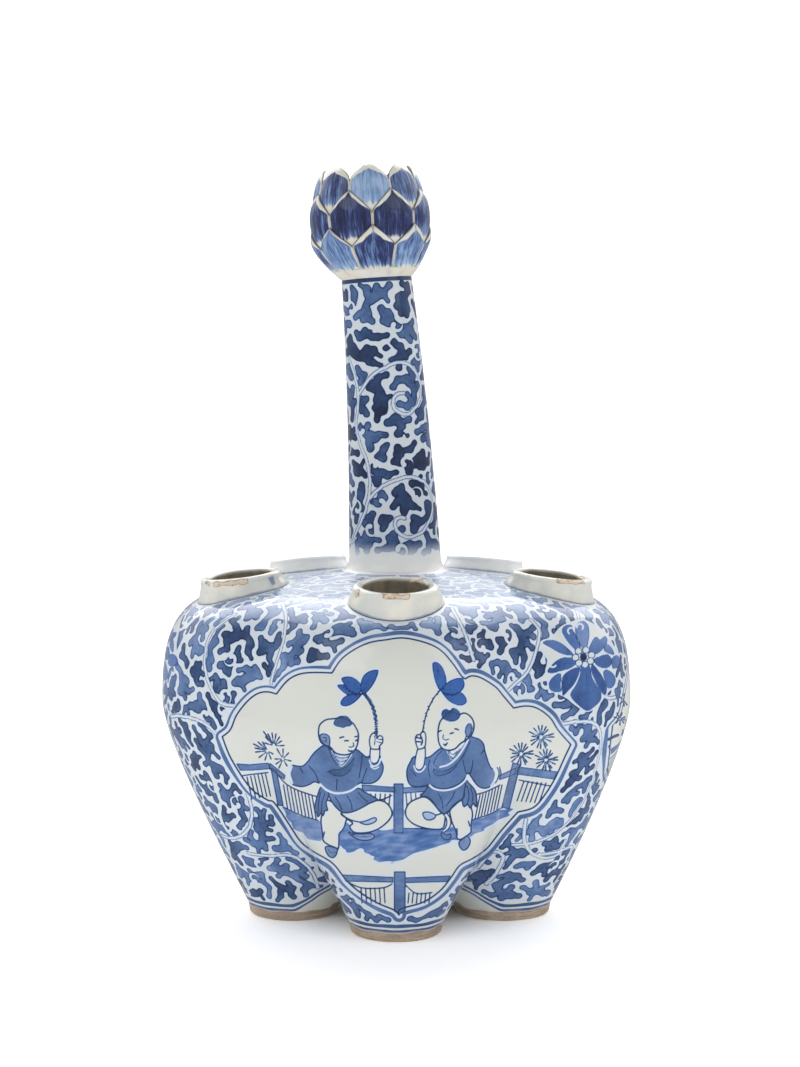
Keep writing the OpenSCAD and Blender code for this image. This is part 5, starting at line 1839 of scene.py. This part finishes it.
class VASE_OT_collars(bpy.types.Operator):
    """Build the five collars on the shoulder"""

    bl_idname = "vase.collars"
    bl_label = "Collars"

    def execute(self, context):
        s, n, k, c = (sizes(v) for v in ("body", "neck", "collar", "glaze"))
        body = Body(s, n.ring_r + SEAT_LIP)
        glaze = collar_material("collar_glaze", c)
        origin, axes = collar_frame(body, k)
        theta = np.linspace(0, 2 * math.pi, COLLAR_STEPS + 1)[None]
        rng = np.random.default_rng(3)
        for i, side in enumerate(SIDES):
            wave = sum(rng.uniform(0.2, 1) * np.cos(m * theta + rng.uniform(0, 6)) / m for m in RIM_WAVES)
            wave = wave * k.unevenness
            shell = Shell()
            index = self.ring(shell, body, k, origin, axes, theta, wave, i)
            shell.sheet(index)
            carry(shell.piece(f"collar_ring_{side}", glaze), "collar_glaze", f"collar_{side}")
        return {"FINISHED"}

    @staticmethod
    def ring(shell, body, k, origin, axes, theta, wave, lobe):
        """A short flared tube: its outside eases from the base radius at the shoulder to the rim radius,
        the rim is half an ellipse, and the foot follows the shoulder below its surface."""
        out = np.cos(theta)[..., None] * axes[0] + np.sin(theta)[..., None] * axes[1]
        ground = origin + k.base_r * out
        level = (body.shoulder_height(ground[..., 0], ground[..., 1]) - ground[..., 2]) / axes[2, 2]
        top = k.height - k.rim_round
        u = np.linspace(0, 1, 31)[:, None]
        h = (level - k.bed) * (1 - u) + (top + wave * 0.4) * u
        r = k.rim_r + (k.base_r - k.rim_r) * (1 - fade(h, level, top)) + wave * u
        turn_over = np.linspace(0, math.pi, 17)[:, None]
        mid, half = (k.rim_r + k.bore_r) / 2, (k.rim_r - k.bore_r) / 2
        rim_r = mid + half * np.cos(turn_over) + wave
        rim_h = top + wave * 0.4 + k.rim_round * np.sin(turn_over)
        bore_r = k.bore_r + wave * (1 - u)
        bore_h = (top + wave * 0.4) * (1 - u) + (level - k.bed) * u
        radius = np.concatenate([r, rim_r[1:], bore_r[1:], r[:1]])
        height = np.concatenate([h, rim_h[1:], bore_h[1:], h[:1]])
        points = origin + radius[..., None] * out + height[..., None] * axes[2]
        base = (height - level) + 0 * radius
        fields = dict(chip=np.full(radius.shape, FAR), dab=np.full(radius.shape, FAR))
        for name, marks in (("chip", CHIPS), ("dab", DABS)):
            for side, toward, wide, low, high in marks:
                if side == lobe:
                    turned_by = (theta - math.radians(toward) + math.pi) % (2 * math.pi) - math.pi
                    across = np.abs(turned_by) * radius - wide
                    mark = np.maximum(across, np.maximum(low - (height - top), (height - top) - high))
                    fields[name] = np.minimum(fields[name], mark)
        inward = 0 * rim_r[1:] + fade(turn_over[1:], 1.8, 3.1)
        bore = np.concatenate([0 * r, inward, 1 + 0 * bore_r[1:], 0 * r[:1]])
        return shell.add(body.place(points, lobe), base=base, bore=bore, **fields)


class VASE_OT_feet(bpy.types.Operator):
    """Build the foot pads of unglazed clay"""

    bl_idname = "vase.feet"
    bl_label = "Feet"

    def execute(self, context):
        s = sizes("body")
        body, clay = Body(s, 0), biscuit_material("biscuit", sizes("glaze"))
        flat_r = s.foot_r - s.foot_bevel
        profile = np.array([[0, 0], [flat_r - 0.3, 0], [flat_r, 0], [s.foot_r, s.foot_bevel],
                            [s.foot_r + 0.03, s.foot_bevel + 0.2], [s.leg_r, s.foot_h - 0.1],
                            [s.leg_r, s.foot_h], [0, s.foot_h]])
        rings, theta = turned(profile)
        r, h = rings[..., 0], rings[..., 1]
        pad = np.stack([s.leg_c + r * np.cos(theta), r * np.sin(theta), h], -1)
        for i, side in enumerate(SIDES):
            shell = Shell()
            shell.sheet(shell.add(body.place(pad, i)))
            carry(shell.piece(f"foot_pad_{side}", clay), "biscuit", f"foot_{side}")
        return {"FINISHED"}


class VASE_OT_stage(bpy.types.Operator):
    """Set the pale floor, the soft light and the camera"""

    bl_idname = "vase.stage"
    bl_label = "Stage"

    def execute(self, context):
        v, s = sizes("stage"), sizes("body")
        axis_y = Body(s, 0).axis_y
        scene = context.scene
        scene.view_settings.view_transform = "Standard"
        camera = bpy.data.objects.new("camera", bpy.data.cameras.new("camera"))
        camera.data.sensor_fit = "HORIZONTAL"
        camera.data.lens = v.focal * camera.data.sensor_width
        camera.data.clip_start, camera.data.clip_end = 0.01, 50
        camera.location = (v.camera_x * MM, (axis_y - v.camera_d) * MM, v.camera_z * MM)
        camera.rotation_euler = (math.pi / 2 - v.pitch, 0, 0)
        scene.collection.objects.link(camera)
        scene.camera = camera
        self.floor()
        self.lamps(scene, v)
        return {"FINISHED"}

    @staticmethod
    def floor():
        """A pale floor that sweeps up behind: level to the bend, then a quarter round, then upright. Its
        own glow, which keeps it white, dies away under the vase, a painted shade that deepens the cast
        shadow there."""
        bend, back, half = 0.6, 1.2, 14.0
        a = np.linspace(0, math.pi / 2, 25)
        y = np.r_[-half, back + bend * np.sin(a), back + bend]
        z = np.r_[0.0, bend * (1 - np.cos(a)), 5.0]
        x = np.array([-half, half])
        shell = Shell()
        grid = np.stack(np.broadcast_arrays(x[None], y[:, None], z[:, None]), -1) / MM
        shell.sheet(shell.add(grid))
        made, shader, w = material("pale_floor", 0.9)
        shader.inputs["Base Color"].default_value = (0.94, 0.94, 0.94, 1)
        shader.inputs["Specular IOR Level"].default_value = 0.0
        shader.inputs["Emission Strength"].default_value = 0.36
        # Painted shade: the glow fades out towards the axis, which darkens the floor under the vase
        out = w.node("ShaderNodeVectorMath", {"operation": "LENGTH"}, out=1, i0=own_place(w))
        out.eased(*GLOW_REACH).mixed((0, 0, 0, 1), (1, 1, 1, 1)).feed(shader, "Emission Color")
        sweep = shell.piece("floor", made, true=True)
        sweep.visible_glossy = False

    @staticmethod
    def lamps(scene, v):
        """A white sky for the camera, a softer one for the vase with a bright card high behind it for
        the gloss, and three broad lamps."""
        world = bpy.data.worlds.new("studio")
        world.use_nodes = True
        scene.world = world
        tree = world.node_tree
        background = tree.nodes["Background"]
        background.inputs["Color"].default_value = (1, 1, 1, 1)
        w = Wire(tree, None)
        path = tree.nodes.new("ShaderNodeLightPath")
        seen, glossy = (Wire(tree, path.outputs[name]) for name in ("Is Camera Ray", "Is Glossy Ray"))
        way = w.node("ShaderNodeTexCoord", out=0)
        back, up = (w.node("ShaderNodeSeparateXYZ", Vector=way, out=k) for k in (1, 2))
        card = up.eased(0.08, 0.3) * back.eased(-0.1, 0.3) * v.card
        (v.sky + seen * (1 - v.sky) + glossy * card).feed(background, "Strength")
        for name, place, size, power in (("key", (-0.8, -0.9, 0.9), (0.9, 0.9), v.key),
                                         ("fill", (0.9, -0.7, 0.8), (0.9, 0.9), v.key * 0.7),
                                         ("back", (0.0, 1.1, 1.4), (2.6, 1.6), v.back)):
            lamp = bpy.data.lights.new(name, "AREA")
            lamp.shape, lamp.size, lamp.size_y, lamp.energy = "RECTANGLE", size[0], size[1], power
            made = bpy.data.objects.new(name, lamp)
            made.location = place
            aim = np.array([0, 0, 0.1]) - np.array(place)
            tilt = math.atan2(math.hypot(aim[0], aim[1]), -aim[2])
            made.rotation_euler = (tilt, 0, math.atan2(aim[1], aim[0]) - math.pi / 2)
            scene.collection.objects.link(made)


class VASE_PT_panel(bpy.types.Panel):
    """Buttons that build the vase, with the settings they read"""

    bl_idname = "VASE_PT_panel"
    bl_label = "Lobed tulip vase"
    bl_space_type = "VIEW_3D"
    bl_region_type = "UI"
    bl_category = "Vase"

    def draw(self, context):
        for operator in OPERATORS:
            self.layout.operator(operator.bl_idname)
        for name, group in GROUPS.items():
            box = self.layout.box()
            box.label(text=group.__doc__)
            for item in group.__annotations__:
                box.prop(getattr(context.scene, "vase_" + name), item)


GROUPS = {"body": BodySizes, "collar": CollarSizes, "neck": NeckSizes, "bud": BudSizes, "paint": PaintSizes,
          "glaze": GlazeColours, "stage": StageSettings}
OPERATORS = (VASE_OT_body, VASE_OT_neck, VASE_OT_bud, VASE_OT_collars, VASE_OT_feet, VASE_OT_stage)


def register():
    """Adds the settings, the operators and the panel."""
    for name, group in GROUPS.items():
        bpy.utils.register_class(group)
        setattr(bpy.types.Scene, "vase_" + name, PointerProperty(type=group))
    for item in (*OPERATORS, VASE_PT_panel):
        bpy.utils.register_class(item)


def unregister():
    """Takes them away again."""
    for item in (VASE_PT_panel, *reversed(OPERATORS)):
        bpy.utils.unregister_class(item)
    for name, group in GROUPS.items():
        delattr(bpy.types.Scene, "vase_" + name)
        bpy.utils.unregister_class(group)


def main():
    """Builds every piece in turn."""
    register()
    for operator in OPERATORS:
        group, name = operator.bl_idname.split(".")
        getattr(getattr(bpy.ops, group), name)()


if __name__ == "__main__":
    main()
